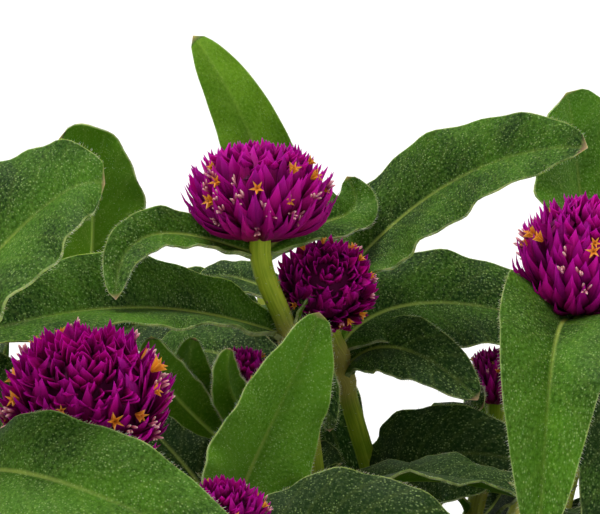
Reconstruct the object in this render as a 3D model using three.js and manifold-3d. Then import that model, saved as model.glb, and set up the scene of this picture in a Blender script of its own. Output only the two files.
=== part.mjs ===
// Potted globe amaranth (Gomphrena globosa), a dwarf bedding plant in a plain plastic pot.
// Millimetres, +Z up. The origin is the middle of the pot's underside, and the front is -Y.
// The pot, its compost, every leafy stem and every flower head is a solid of its own.
import * as THREE from 'three';
import { mergeVertices } from 'three/addons/utils/BufferGeometryUtils.js';
import Module from 'manifold-3d';

const wasm = await Module();
wasm.setup();

// Pot: a round pot with a rim band, a foot ring and a groove with drain holes.
const POT_HEIGHT = 94;
const POT_BASE_RADIUS = 43.5;
const POT_BODY_RADIUS = 56.2;
const POT_RIM_RADIUS = 60;
const POT_RIM_BAND = 13;
const POT_WALL = 2;
const POT_FLOOR = 3.6;
const POT_EDGE = 1;
const GROOVE_INNER = 18;
const GROOVE_OUTER = 37;
const GROOVE_DEPTH = 1.5;
const DRAIN_RADIUS = 4.2;
const DRAIN_CIRCLE = 27.5;
const DRAIN_COUNT = 6;
const DRAIN_SIDES = 8;
const POT_SIDES = 28;

// Compost: a shallow mound with a plain hole for every stem.
const GAP = 0.3;
const SOIL_WALL_GAP = 0.6;
const SOIL_EDGE = 86.5;
const SOIL_MOUND = 3.5;
const SOIL_SIDES = 18;
const SOIL_RINGS = [0.75, 0.4];
const HOLE_DEPTH = 13;
const HOLE_GAP = 0.7;
const HOLE_SIDES = 6;

// Leafy stems: rods that swell at each leaf joint.
const STEM_SIDES = 5;
const STEM_FOOT_RADIUS = 2.3;
const STEM_TOP_RADIUS = 1.7;
const STEM_SHARES = [0, 0.95, 1];
const STALK_SHARES = [0.1, 0.4, 0.75, 1];
const STALK_FLARE = 0.15;
const JOINT_SWELL = 1.38;
const JOINT_HALF = 0.04;
const COLLAR_DROP = 2.2;
const STEM_UPRIGHT = 1.5;
const SHOOT_BEND = 0.36;
const STALK_BEND = 0.38;
const FORK_LIFT = 0.3;

// Leaves: lance-shaped blades with a waved margin, folded along the midrib.
const SET_STEPS = [0, 0.1, 0.25, 0.42, 0.6, 0.78, 0.93, 1];
const RULE_STEPS = [0, 0.15, 0.4, 0.66, 0.88, 1];
const BLADE_THICKNESS = 1.2;
const BLADE_THINNING = 0.35;
const BASE_POWER = 0.75;
const TIP_POWER = 0.52;
const NECK_WIDTH = 0.95;
const WAVE_SHARE = 0.045;
const WAVE_COUNT = 3.5;
const WAVE_SHIFT = 1.9;

// Flower heads: bracts in staggered rings round an egg-shaped head.
const HEAD_CORE = 0.84;
const HEAD_LOW = 0.14 * Math.PI;
const HEAD_HIGH = 0.93 * Math.PI;
const HEAD_SEAT = 2;
const SMALL_HEAD = 8.5;
const BRACT_REACH = 0.17;
const BRACT_LIFT = 0.62;
const FLORET_REACH = 0.18;
const FLORET_SHARE = 0.12;
const FLORET_TAPER = 0.7;

// Leaves by rule: their sizes in millimetres and their angles in radians, as low and high.
const JOINT_RULE = { length: [42, 54], rise: [0.4, 0.7], fall: [-0.15, 0.35] };
const COLLAR_RULE = { length: [26, 34], rise: [0.1, 0.25], fall: [-0.1, 0.35] };
const RULE_WIDTH = [0.37, 0.43];
const RULE_FOLD = 15;
const SMALL_SHARE = 0.75;
const TOWARD_REACH = 0.36;
const OVER_REACH = 0.72;
const OVER_RISE = 0.35;

// How rule leaves keep clear, and the changes tried on one that would touch something:
// its scale, its turn sideways and its lift.
const POT_CLEAR = 2;
const SOLID_CLEAR = 1.6;
const BLADE_CLEAR = 3.4;
const OWN_CLEAR = 2.2;
const SAMPLE_LONG = 14;
const SAMPLE_WIDE = 2;
const SAMPLE_FOOT = 2;
const TRIES = [1, 0.85, 0.7, 0.55].flatMap((scale) => [0, 0.3, -0.3, 0.6, -0.6, 0.9, -0.9].flatMap(
  (swing) => [0, 0.35, -0.35, 0.7].map((lift) => [scale, swing, lift]),
));

// The plant is grown to be looked at from one side: seen from this eye, rule leaves fill in only
// low down and behind, and a gap between the leaves on the right stays open. The limits are
// slopes, sideways and upwards, of the line from the eye.
const EYE = new THREE.Vector3(0, -406, 225);
const EYE_PITCH = THREE.MathUtils.degToRad(7);
const FRAME = { side: 0.131, low: -0.1086 };
const BEHIND = { back: 12, high: -0.019 };
const AMONG = { back: -22, high: -0.068 };
const OPEN_GAP = { left: 0.017, right: 0.068, low: -0.076, high: -0.046 };

const LOOK = {
  pot: { color: 0x9a4b30, roughness: 0.55, metalness: 0 },
  compost: { color: 0x33231a, roughness: 0.95, metalness: 0 },
  leaf: { color: 0x3d6128, roughness: 0.6, metalness: 0 },
  bloom: { color: 0x8a0a80, roughness: 0.5, metalness: 0 },
};

// Shares of the way up a shoot at which its lower leaf joints sit.
const LOW = [0.2, 0.46, 0.76];
const TALL = [0.16, 0.36, 0.58, 0.8];
const BENT = [0.22, 0.5, 0.92];

// A shoot: where it leaves the compost, its last leaf joint, the middle and axis of its flower
// head, the head's radius and height, the turn of its lowest leaves in degrees, and its joints.
const SHOOTS = [
  [[4, 1], [-1.6, -7, 161.6], [-6.8, -7.6, 187.3], [0, 0, 1], 12.5, 17.5, 20, TALL],
  [[21, 16], [6.8, 13, 156], [4.6, -1.5, 170.6], [0.1, -0.8, 0.55], 9, 13.5, 60, BENT],
  [[-13, -9], [-12.5, -13, 145], [-9.3, -11.4, 156.6], [0, -0.3, 0.95], 5.6, 9, 50, TALL],
  [[-22, -27], [-29, -37, 138], [-32.9, -49.3, 159.5], [0, -0.6, 0.8], 13.5, 19, 10, LOW],
  [[-5, -24], [-9, -32, 122], [-12.3, -43, 139.3], [0, -0.3, 0.95], 8, 12, 30, LOW],
  [[28, -20], [40, -28, 147], [45.9, -36.8, 179.8], [0.15, -0.25, 0.95], 12.1, 19, 70, TALL],
  [[25, 30], [34, 29, 130], [36.6, 28, 149.4], [0, 0, 1], 6.6, 11, 35, LOW],
  [[-34, -28], [-52, -58, 146], [-67, -63, 178], [-0.3, -0.2, 1], 11, 17, 15, TALL],
  [[-29, 12], [-38, 14, 154], [-58, 22, 174], [-0.5, 0.1, 1], 11.5, 17, 80, TALL],
  [[-3, 31], [-6, 42, 156], [-7.3, 52, 178.5], [0, 0.1, 1], 10.5, 15, 0, TALL],
  [[42, 12], [54, 26, 148], [61, 30, 173], [0.2, 0.1, 1], 11.5, 17, 25, TALL],
  [[12, -38], [17, -46, 108], [21, -57, 121], [0.1, -0.4, 1], 11, 16, 55, LOW],
  [[-20, 36], [-32, 46, 117], [-39, 52, 136], [-0.1, 0.3, 1], 11, 16, 40, LOW],
  [[43, -8], [58, -10, 118], [66, -10, 140], [0.3, 0, 1], 11, 16, 5, LOW],
  [[26, 42], [44, 50, 126], [53, 54, 147], [0.2, 0.3, 1], 10.5, 15, 65, LOW],
  [[-44, -6], [-56, -12, 128], [-62, -14, 150], [-0.3, 0, 1], 10.5, 15, 45, LOW],
].map(([root, fork, head, axis, radius, height, turn, joints]) => (
  { root, fork, head, axis, radius, height, turn, joints }
));

// Leaves set by hand: shoot, joint, two points that the midrib bends towards, tip, width,
// fold and roll in degrees, and where along the leaf it is widest.
const SET_LEAVES = [
  [0, 'collar', [-17, -6, 179.5], [-31, -13.5, 186], [-30, -24, 171], 9.5, 20, 40, 0.5],
  [0, 'collar', [0.5, 4, 183.5], [14.5, 12, 177.5], [8.3, 13, 188], 10.5, 15, -35, 0.5],
  [0, 'fork', [-18.5, -8, 169], [-39, -23.5, 173], [-64, -44, 162.7], 20, 26, 35, 0.52],
  [0, 'fork', [0, -9, 161], [4, -12, 156], [5, -13, 147], 7, 15, -20, 0.5],
  [0, 0.8, [-8, 5, 157], [-18, 10, 161], [-30, 13, 153], 14, 12, 35, 0.5],
  [1, 'collar', [13, 18, 177.5], [30, 5.5, 195], [48, -12.5, 195], 21, 14, -55, 0.42],
  [1, 'collar', [-8, 16, 167], [-13, 22, 172], [-20, 22, 167], 8, 15, 30, 0.5],
  [1, 'fork', [12.6, 17, 168], [33, 22.5, 166], [53, 18, 157.5], 20, 10, -50, 0.5],
  [1, 0.92, [11, 12, 160], [21, 9, 160], [31, 0, 150], 13, 10, -45, 0.5],
  [2, 'fork', [-18, -19, 152], [-24.5, -21.5, 156.5], [-24.5, -20.5, 164.5], 9, 15, -50, 0.5],
  [2, 'collar', [-16, -14, 149], [-20.5, -16, 157], [-17.5, -15.5, 163.5], 8, 15, -40, 0.5],
  [2, 'collar', [-8, -19.5, 149.5], [-14, -22, 156], [-11.5, -20, 162.5], 7, 10, -50, 0.5],
  [4, 'collar', [-13, -23, 136.5], [-2.5, -24, 153], [3.2, -20, 168.5], 18.5, 16, -62, 0.42],
  [4, 'collar', [-2, -36, 135], [10, -38, 144.5], [28, -46, 131], 17, 16, -40, 0.5],
  [5, 'collar', [38, -51, 175], [37, -60, 165.5], [35.5, -61, 138], 22, 25, 14, 0.2],
  [5, 'collar', [51, -42, 170], [51, -46, 152], [46, -50, 131], 15, 10, 0, 0.5],
  [7, 'collar', [-49, -64, 173.5], [-37, -69, 196.5], [-28, -67, 194], 24, 10, -50, 0.5],
  [7, 'fork', [-47, -70, 158], [-26, -77, 150.5], [-7, -84, 141.5], 20, 10, -45, 0.5],
  [8, 'fork', [-38, 15.5, 174], [-33.8, 18.5, 191.5], [-43, 15.5, 194.5], 18.5, 16, -80, 0.5],
  [9, 'collar', [0, 31, 172], [-8, 36, 197], [-20.3, 44, 212], 13.5, 14, -60, 0.5],
  [10, 'collar', [54, 48, 161], [54, 52, 193], [51, 48, 201], 26, 10, -15, 0.5],
  [1, 0.5, [14, 9, 135], [24, 10, 142.5], [42, 6, 137], 21, 5, -60, 0.45],
  [6, 'fork', [27, 24, 139], [27, 18, 149], [33, 14, 146], 13, 12, -25, 0.5],
  [9, 'fork', [-16, 40, 163], [-28, 38, 162], [-42, 35, 150], 17, 12, 45, 0.5],
  [9, 0.8, [-14, 33, 150], [-26, 28, 150], [-38, 27, 139], 16, 12, 45, 0.5],
  [9, 0.8, [2, 34, 149], [5, 30, 146], [9, 27, 128], 15, 12, -45, 0.5],
  [3, 'collar', [-46, -41, 153], [-52, -35, 163], [-61, -33, 160], 14, 15, 62, 0.5],
  [15, 'collar', [-50, -23, 139], [-47.5, -27, 156], [-47.5, -26, 166], 11, 15, -60, 0.5],
  [2, 0.8, [-18, -12, 140], [-25, -8, 146], [-30, -4, 150], 13, 15, 30, 0.5],
];

// Draws the same numbers each time from one seed.
let seed = 20261;
function draw([low, high]) {
  seed = (seed * 16807) % 2147483647;
  return low + (high - low) * (seed / 2147483647);
}

function vector([x, y, z]) {
  return new THREE.Vector3(x, y, z);
}

function soilHeight(x, y) {
  const share = Math.hypot(x, y) / POT_BODY_RADIUS;
  return SOIL_EDGE + SOIL_MOUND * (1 - share * share);
}

// A closed mesh becomes a solid for joining and cutting, and goes back to a mesh.
function solid(geometry) {
  const bare = geometry.clone();
  bare.deleteAttribute('normal');
  bare.deleteAttribute('uv');
  const merged = mergeVertices(bare, 1e-4);
  return new wasm.Manifold(new wasm.Mesh({
    numProp: 3,
    vertProperties: merged.attributes.position.array,
    triVerts: new Uint32Array(merged.index.array),
  }));
}

function surface(body) {
  const mesh = body.getMesh();
  const geometry = new THREE.BufferGeometry();
  geometry.setAttribute('position', new THREE.BufferAttribute(new Float32Array(mesh.vertProperties), 3));
  geometry.setIndex(Array.from(mesh.triVerts));
  const flat = geometry.toNonIndexed();
  flat.computeVertexNormals();
  return flat;
}

function closedGeometry(points, faces) {
  const geometry = new THREE.BufferGeometry();
  const flat = points.flatMap((p) => [p.x, p.y, p.z]);
  geometry.setAttribute('position', new THREE.BufferAttribute(new Float32Array(flat), 3));
  geometry.setIndex(faces.flat());
  return geometry;
}

function lathe(profile, sides) {
  const geometry = new THREE.LatheGeometry(profile.map(([r, z]) => new THREE.Vector2(r, z)), sides);
  geometry.rotateX(Math.PI / 2);
  return geometry;
}

function drill(radius, length, sides, x, y, z) {
  const geometry = new THREE.CylinderGeometry(radius, radius, length, sides);
  geometry.rotateX(Math.PI / 2);
  geometry.translate(x, y, z);
  return solid(geometry);
}

// The direction of a bent line at a share of its length.
function slope(line, t) {
  const way = line.v1.clone().sub(line.v0).multiplyScalar((1 - t) * (1 - t));
  way.addScaledVector(line.v2.clone().sub(line.v1), 2 * (1 - t) * t);
  way.addScaledVector(line.v3.clone().sub(line.v2), t * t);
  return way.normalize();
}

// The line of a shoot: straight up out of the compost, a bent shoot, then the flower stalk.
function shootLines(shoot) {
  const [x, y] = shoot.root;
  const ground = soilHeight(x, y);
  const start = new THREE.Vector3(x, y, ground + STEM_UPRIGHT);
  const fork = vector(shoot.fork);
  const axis = vector(shoot.axis).normalize();
  const base = vector(shoot.head).addScaledVector(axis, -shoot.height / 2 - GAP);
  const up = new THREE.Vector3(0, 0, 1);
  const heading = base.clone().sub(fork).normalize().addScaledVector(up, FORK_LIFT).normalize();
  const bend = fork.distanceTo(start) * SHOOT_BEND;
  const reach = base.distanceTo(fork) * STALK_BEND;
  return {
    foot: new THREE.Vector3(x, y, ground - HOLE_DEPTH + GAP),
    axis,
    shoot: new THREE.CubicBezierCurve3(
      start,
      start.clone().addScaledVector(up, bend),
      fork.clone().addScaledVector(heading, -bend),
      fork,
    ),
    stalk: new THREE.CubicBezierCurve3(
      fork,
      fork.clone().addScaledVector(heading, reach),
      base.clone().addScaledVector(axis, -reach),
      base,
    ),
  };
}

// Where a leaf joint sits: under the flower head, at the fork, or a share of the way up.
function jointPlace(lines, joint) {
  if (joint === 'collar') {
    return lines.stalk.getPoint(1 - COLLAR_DROP / lines.stalk.v0.distanceTo(lines.stalk.v3));
  }
  return lines.shoot.getPoint(joint === 'fork' ? 1 : joint);
}

function makeLeaf(points, { width, fold, roll, widest, phase, steps }) {
  const line = new THREE.CubicBezierCurve3(...points);
  const heading = line.v3.clone().sub(line.v0);
  return {
    line,
    side: new THREE.Vector3(heading.y, -heading.x, 0).normalize(),
    width,
    fold: THREE.MathUtils.degToRad(fold),
    roll: THREE.MathUtils.degToRad(roll),
    power: Math.log(0.5) / Math.log(widest),
    phase,
    steps,
  };
}

// The frame of a blade at a share of its length: its middle, sideways and upward directions.
function bladeFrame(leaf, t) {
  const along = slope(leaf.line, t);
  const up = new THREE.Vector3().crossVectors(leaf.side, along).normalize();
  const across = new THREE.Vector3().crossVectors(along, up);
  const cos = Math.cos(leaf.roll);
  const sin = Math.sin(leaf.roll);
  return {
    middle: leaf.line.getPoint(t),
    across: across.clone().multiplyScalar(cos).addScaledVector(up, sin),
    up: up.clone().multiplyScalar(cos).addScaledVector(across, -sin),
  };
}

function bladeHalf(leaf, t) {
  const turn = Math.PI * t ** leaf.power;
  const outline = Math.max(0, Math.sin(turn)) ** (turn < Math.PI / 2 ? BASE_POWER : TIP_POWER);
  return Math.max(leaf.width / 2 * outline, NECK_WIDTH * (1 - t) ** 2);
}

// A point of the blade: u runs from -1 at one margin to 1 at the other.
function bladePoint(leaf, t, u) {
  const { middle, across, up } = bladeFrame(leaf, t);
  const half = bladeHalf(leaf, t);
  const beat = Math.sin(2 * Math.PI * WAVE_COUNT * t + leaf.phase + (u > 0 ? WAVE_SHIFT : 0));
  const wave = WAVE_SHARE * leaf.width * Math.sin(Math.PI * t) * beat * u * u;
  middle.addScaledVector(across, u * half * Math.cos(leaf.fold));
  return middle.addScaledVector(up, Math.abs(u) * half * Math.sin(leaf.fold) + wave);
}

// A blade solid: sharp margins, thickest along the midrib, and a point at the tip.
function bladeGeometry(leaf) {
  const points = [];
  const rings = leaf.steps.slice(0, -1);
  rings.forEach((t) => {
    const { up } = bladeFrame(leaf, t);
    const thick = BLADE_THICKNESS / 2 * (1 - BLADE_THINNING * t);
    points.push(bladePoint(leaf, t, -1));
    points.push(bladePoint(leaf, t, 0).addScaledVector(up, thick));
    points.push(bladePoint(leaf, t, 1));
    points.push(bladePoint(leaf, t, 0).addScaledVector(up, -thick));
  });
  const tip = points.push(leaf.line.getPoint(1)) - 1;
  const faces = [[0, 3, 1], [1, 3, 2]];
  for (let a = 0; a < tip - 4; a += 4) {
    const b = a + 4;
    faces.push([a, a + 1, b + 1], [a, b + 1, b], [a + 1, a + 2, b + 1], [a + 2, b + 2, b + 1]);
    faces.push([a, b + 3, a + 3], [a, b, b + 3], [a + 2, a + 3, b + 3], [a + 2, b + 3, b + 2]);
  }
  const end = tip - 4;
  [0, 1, 2, 3].forEach((k) => faces.push([end + k, end + (k + 1) % 4, tip]));
  return closedGeometry(points, faces);
}

// A stem is a lathed rod with one ring to each station, carried onto the stem's line.
function stemGeometry(stations) {
  const profile = [[0, 0], ...stations.map((s, i) => [s.radius, i]), [0, stations.length - 1]];
  const rod = lathe(profile, STEM_SIDES);
  let across = new THREE.Vector3(1, 0, 0);
  const frames = stations.map((s) => {
    across = across.clone().addScaledVector(s.along, -across.dot(s.along)).normalize();
    return [across, new THREE.Vector3().crossVectors(s.along, across)];
  });
  const place = rod.attributes.position;
  for (let i = 0; i < place.count; i += 1) {
    const ring = Math.round(place.getZ(i));
    const [a, b] = frames[ring];
    const point = stations[ring].point.clone();
    point.addScaledVector(a, place.getX(i)).addScaledVector(b, place.getY(i));
    place.setXYZ(i, point.x, point.y, point.z);
  }
  return rod;
}

function stemStations(lines, joints) {
  const stations = [{ point: lines.foot, along: new THREE.Vector3(0, 0, 1), radius: STEM_FOOT_RADIUS }];
  const beside = joints.flatMap((joint) => [joint - JOINT_HALF, joint, joint + JOINT_HALF]);
  const shares = [...STEM_SHARES, ...beside].sort((a, b) => a - b);
  shares.forEach((t) => {
    const swell = joints.includes(t) || t === 1 ? JOINT_SWELL : 1;
    const radius = swell * (STEM_FOOT_RADIUS + (STEM_TOP_RADIUS - STEM_FOOT_RADIUS) * t);
    stations.push({ point: lines.shoot.getPoint(t), along: slope(lines.shoot, t), radius });
  });
  STALK_SHARES.forEach((t) => {
    const radius = STEM_TOP_RADIUS * (1 + STALK_FLARE * t);
    stations.push({ point: lines.stalk.getPoint(t), along: slope(lines.stalk, t), radius });
  });
  return stations;
}

// A flower head: an egg-shaped core covered by staggered rings of cells, each raised to the
// pointed tip of a bract, and here and there to the blunt bud of a small floret.
function headGeometry(shoot) {
  const small = shoot.radius < SMALL_HEAD;
  const around = small ? 7 : 8;
  const rings = small ? 6 : 7;
  const spot = (ring, turn, out) => {
    const angle = HEAD_LOW + (HEAD_HIGH - HEAD_LOW) * ring / rings;
    const radius = shoot.radius * Math.sin(angle) * out;
    const height = -shoot.height / 2 * Math.cos(angle) * out;
    return new THREE.Vector3(radius * Math.cos(turn), radius * Math.sin(turn), height);
  };
  const turnOf = (ring, step) => 2 * Math.PI * (step + (ring % 2) / 2) / around;
  const at = (ring, step) => ring * around + step % around;
  const points = [];
  for (let ring = 0; ring <= rings; ring += 1) {
    for (let step = 0; step < around; step += 1) {
      points.push(spot(ring, turnOf(ring, step), HEAD_CORE));
    }
  }
  const faces = [];
  for (let ring = 1; ring < rings; ring += 1) {
    for (let step = 0; step < around; step += 1) {
      const lean = step + ring % 2;
      const cell = [at(ring - 1, lean), at(ring, step + 1), at(ring + 1, lean), at(ring, step)];
      const turn = turnOf(ring, step + 0.5);
      const floret = draw([0, 1]) < FLORET_SHARE && ring > 2 && ring < rings - 1;
      const out = HEAD_CORE + BRACT_REACH * draw([0.75, 1.1]);
      if (floret) {
        const bud = spot(ring, turn, HEAD_CORE + FLORET_REACH);
        const top = cell.map((corner) => points.push(points[corner].clone().lerp(bud, FLORET_TAPER)) - 1);
        const outer = points.length;
        points.push(bud);
        cell.forEach((corner, k) => {
          const next = (k + 1) % 4;
          faces.push([corner, cell[next], top[next]], [corner, top[next], top[k]]);
          faces.push([top[k], top[next], outer]);
        });
      } else {
        const tip = points.push(spot(ring + BRACT_LIFT, turn, out)) - 1;
        cell.forEach((corner, k) => faces.push([corner, cell[(k + 1) % 4], tip]));
      }
    }
  }
  const seat = points.length;
  for (let step = 0; step < around; step += 1) {
    const turn = turnOf(0, step);
    const seatEdge = new THREE.Vector3(HEAD_SEAT * Math.cos(turn), HEAD_SEAT * Math.sin(turn), 0);
    points.push(seatEdge.setZ(-shoot.height / 2));
  }
  const under = points.push(new THREE.Vector3(0, 0, -shoot.height / 2)) - 1;
  const crown = points.push(new THREE.Vector3(0, 0, shoot.height / 2)) - 1;
  for (let step = 0; step < around; step += 1) {
    const next = (step + 1) % around;
    faces.push([at(0, step), at(0, next), at(1, step)]);
    faces.push([seat + step, seat + next, at(0, next)], [seat + step, at(0, next), at(0, step)]);
    faces.push([under, seat + next, seat + step]);
    faces.push([at(rings - 1, step + rings % 2), at(rings, next), at(rings, step)]);
    faces.push([crown, at(rings, step), at(rings, next)]);
  }
  return closedGeometry(points, faces);
}

// Leaves by rule: each joint without a set pair gets one, a quarter turn from the pair below. A
// leaf is turned, raised or shortened until it is clear of what already grows there.
const blades = [];
const rods = [];
const heads = [];

function sampleBlade(leaf, owner) {
  const points = [];
  for (let i = 1; i <= SAMPLE_LONG; i += 1) {
    for (let j = -SAMPLE_WIDE; j <= SAMPLE_WIDE; j += 1) {
      points.push(bladePoint(leaf, i / SAMPLE_LONG, j / SAMPLE_WIDE));
    }
  }
  const middle = leaf.line.getPoint(0.5);
  const reach = Math.max(...points.map((p) => p.distanceTo(middle)));
  return { owner, points, free: points.slice(SAMPLE_FOOT * (2 * SAMPLE_WIDE + 1)), middle, reach };
}

function headClear(point, head) {
  const local = point.clone().sub(head.middle);
  const along = local.dot(head.axis);
  const out = Math.sqrt(Math.max(0, local.lengthSq() - along * along));
  return Math.hypot(out / (head.radius + SOLID_CLEAR), along / (head.height / 2 + SOLID_CLEAR)) > 1;
}

function outOfSight(point) {
  const ahead = point.y - EYE.y;
  const above = point.z - EYE.z;
  const depth = ahead * Math.cos(EYE_PITCH) - above * Math.sin(EYE_PITCH);
  const side = (point.x - EYE.x) / depth;
  const rise = (ahead * Math.sin(EYE_PITCH) + above * Math.cos(EYE_PITCH)) / depth;
  const level = rise > OPEN_GAP.low && rise < OPEN_GAP.high;
  const opens = level && side > OPEN_GAP.left && side < OPEN_GAP.right;
  const outside = Math.abs(side) > FRAME.side || rise < FRAME.low;
  const behind = [BEHIND, AMONG].some(({ back, high }) => point.y > back && rise < high);
  return (outside || behind) && !opens;
}

function offPot(point) {
  const out = Math.hypot(point.x, point.y);
  const ground = out > POT_BODY_RADIUS - POT_CLEAR ? POT_HEIGHT : soilHeight(point.x, point.y);
  return out > POT_RIM_RADIUS + POT_CLEAR || point.z > ground + POT_CLEAR;
}

function bladeFits(sample) {
  if (!sample.points.every((p) => offPot(p) && outOfSight(p))) {
    return false;
  }
  if (!heads.every((head) => sample.free.every((p) => headClear(p, head)))) {
    return false;
  }
  const rodClear = (rod) => (rod.owner === sample.owner ? sample.free : sample.points)
    .every((p) => p.distanceTo(rod.point) > rod.radius + SOLID_CLEAR);
  if (!rods.every(rodClear)) {
    return false;
  }
  return blades.every((other) => {
    if (other.middle.distanceTo(sample.middle) > other.reach + sample.reach + BLADE_CLEAR) {
      return true;
    }
    const same = other.owner === sample.owner;
    const [mine, theirs] = same ? [sample.free, other.free] : [sample.points, other.points];
    const clear = same ? OWN_CLEAR : BLADE_CLEAR;
    return mine.every((p) => theirs.every((q) => p.distanceTo(q) > clear));
  });
}

// The points that a rule leaf's midrib bends along, from a joint out to its tip.
function rulePoints(place, axis, azimuth, length, rise, fall) {
  const heading = new THREE.Vector3(Math.cos(azimuth), Math.sin(azimuth), 0);
  const start = heading.clone().addScaledVector(axis, -heading.dot(axis)).normalize();
  start.multiplyScalar(Math.cos(rise)).addScaledVector(axis, Math.sin(rise));
  const aim = (angle, reach) => place.clone().addScaledVector(heading, reach * Math.cos(angle))
    .add(new THREE.Vector3(0, 0, reach * Math.sin(angle)));
  const toward = place.clone().addScaledVector(start, length * TOWARD_REACH);
  return [place, toward, aim(fall + OVER_RISE * rise, length * OVER_REACH), aim(fall, length)];
}

const plants = SHOOTS.map((shoot) => ({ ...shoot, lines: shootLines(shoot), leaves: [] }));

plants.forEach(({ lines, head, radius, height }, owner) => {
  heads.push({ middle: vector(head), axis: lines.axis, radius, height });
  for (let i = 0; i <= 20; i += 1) {
    rods.push({ owner, point: lines.shoot.getPoint(i / 20), radius: STEM_FOOT_RADIUS });
    rods.push({ owner, point: lines.stalk.getPoint(i / 20), radius: STEM_TOP_RADIUS });
  }
});

SET_LEAVES.forEach(([owner, joint, toward, over, tip, width, fold, roll, widest]) => {
  const points = [jointPlace(plants[owner].lines, joint), vector(toward), vector(over), vector(tip)];
  const leaf = makeLeaf(points, { width, fold, roll, widest, phase: draw([0, 6]), steps: SET_STEPS });
  plants[owner].leaves.push({ ...leaf, joint });
  blades.push(sampleBlade(leaf, owner));
});

plants.forEach(({ lines, leaves, joints, radius, turn }, owner) => {
  [...joints, 'fork', 'collar'].forEach((joint, order) => {
    const place = jointPlace(lines, joint);
    const set = leaves.filter((leaf) => leaf.joint === joint);
    const rest = THREE.MathUtils.degToRad(turn + 90 * order);
    const first = set.length > 0 ? Math.atan2(set[0].side.x, -set[0].side.y) : rest;
    const rule = joint === 'collar' ? COLLAR_RULE : JOINT_RULE;
    const axis = joint === 'collar' ? lines.axis : slope(lines.shoot, joint === 'fork' ? 1 : joint);
    for (let side = set.length; side < 2; side += 1) {
      const length = draw(rule.length) * (radius < SMALL_HEAD ? SMALL_SHARE : 1);
      const rise = draw(rule.rise);
      const fall = draw(rule.fall);
      const form = { width: length * draw(RULE_WIDTH), fold: RULE_FOLD, roll: 0, widest: 0.5 };
      const phase = draw([0, 6]);
      TRIES.some(([scale, swing, lift]) => {
        const azimuth = first + Math.PI * side + swing;
        const points = rulePoints(place, axis, azimuth, length * scale, rise, fall + lift);
        const leaf = makeLeaf(points, { ...form, width: form.width * scale, phase, steps: RULE_STEPS });
        const sample = sampleBlade(leaf, owner);
        const fits = bladeFits(sample);
        if (fits) {
          leaves.push({ ...leaf, joint });
          blades.push(sample);
        }
        return fits;
      });
    }
  });
});

// The pot is lathed from one closed profile, and its drain holes are cut into the groove.
function potGeometry() {
  const band = POT_HEIGHT - POT_RIM_BAND;
  const inner = POT_WALL + POT_EDGE / 2;
  let body = solid(lathe([
    [0, 0], [GROOVE_INNER, 0], [GROOVE_INNER + POT_EDGE, GROOVE_DEPTH],
    [GROOVE_OUTER - POT_EDGE, GROOVE_DEPTH], [GROOVE_OUTER, 0],
    [POT_BASE_RADIUS - POT_EDGE, 0], [POT_BASE_RADIUS, POT_EDGE], [POT_BODY_RADIUS, band],
    [POT_RIM_RADIUS - POT_EDGE, band + POT_EDGE], [POT_RIM_RADIUS, band + inner],
    [POT_RIM_RADIUS, POT_HEIGHT - POT_EDGE], [POT_RIM_RADIUS - POT_EDGE, POT_HEIGHT],
    [POT_RIM_RADIUS - POT_WALL, POT_HEIGHT - POT_EDGE / 2], [POT_RIM_RADIUS - inner, band + inner],
    [POT_BODY_RADIUS - POT_WALL, band - POT_EDGE],
    [POT_BASE_RADIUS - POT_WALL, POT_FLOOR + POT_EDGE],
    [POT_BASE_RADIUS - POT_WALL - POT_EDGE, POT_FLOOR], [0, POT_FLOOR],
  ], POT_SIDES));
  for (let hole = 0; hole < DRAIN_COUNT; hole += 1) {
    const turn = 2 * Math.PI * hole / DRAIN_COUNT;
    const x = DRAIN_CIRCLE * Math.cos(turn);
    const y = DRAIN_CIRCLE * Math.sin(turn);
    body = body.subtract(drill(DRAIN_RADIUS, 4 * POT_FLOOR, DRAIN_SIDES, x, y, 0));
  }
  return surface(body);
}

// The compost fills the pot from its floor to a shallow mound, with a hole for each stem.
function compostGeometry() {
  const band = POT_HEIGHT - POT_RIM_BAND;
  const inner = POT_WALL + POT_EDGE / 2;
  const wall = POT_WALL + SOIL_WALL_GAP;
  const edge = POT_RIM_RADIUS - inner - SOIL_WALL_GAP;
  let body = solid(lathe([
    [0, POT_FLOOR + GAP], [POT_BASE_RADIUS - wall - POT_EDGE, POT_FLOOR + GAP],
    [POT_BASE_RADIUS - wall, POT_FLOOR + GAP + POT_EDGE], [POT_BODY_RADIUS - wall, band - POT_EDGE / 2],
    [edge, band + inner + GAP], [edge, soilHeight(edge, 0)],
    ...SOIL_RINGS.map((share) => [edge * share, soilHeight(edge * share, 0)]),
    [0, soilHeight(0, 0)],
  ], SOIL_SIDES));
  SHOOTS.forEach(({ root: [x, y] }) => {
    const radius = STEM_FOOT_RADIUS + HOLE_GAP;
    body = body.subtract(drill(radius, 2 * HOLE_DEPTH, HOLE_SIDES, x, y, soilHeight(x, y)));
  });
  return surface(body);
}

function named(name, geometry, look) {
  const mesh = new THREE.Mesh(geometry, new THREE.MeshStandardMaterial(look));
  mesh.name = name;
  return mesh;
}

const plant = new THREE.Group();
plant.add(named('pot', potGeometry(), LOOK.pot));
plant.add(named('compost', compostGeometry(), LOOK.compost));
plants.forEach(({ lines, leaves, joints }, index) => {
  const number = String(index + 1).padStart(2, '0');
  const stem = solid(stemGeometry(stemStations(lines, joints)));
  const whole = leaves.reduce((body, leaf) => body.add(solid(bladeGeometry(leaf))), stem);
  plant.add(named(`leafy_stem_${number}`, surface(whole), LOOK.leaf));
});
plants.forEach((shoot, index) => {
  const number = String(index + 1).padStart(2, '0');
  const head = named(`bloom_${number}`, surface(solid(headGeometry(shoot))), LOOK.bloom);
  head.quaternion.setFromUnitVectors(new THREE.Vector3(0, 0, 1), shoot.lines.axis);
  head.position.copy(vector(shoot.head));
  plant.add(head);
});

export default plant;
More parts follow.
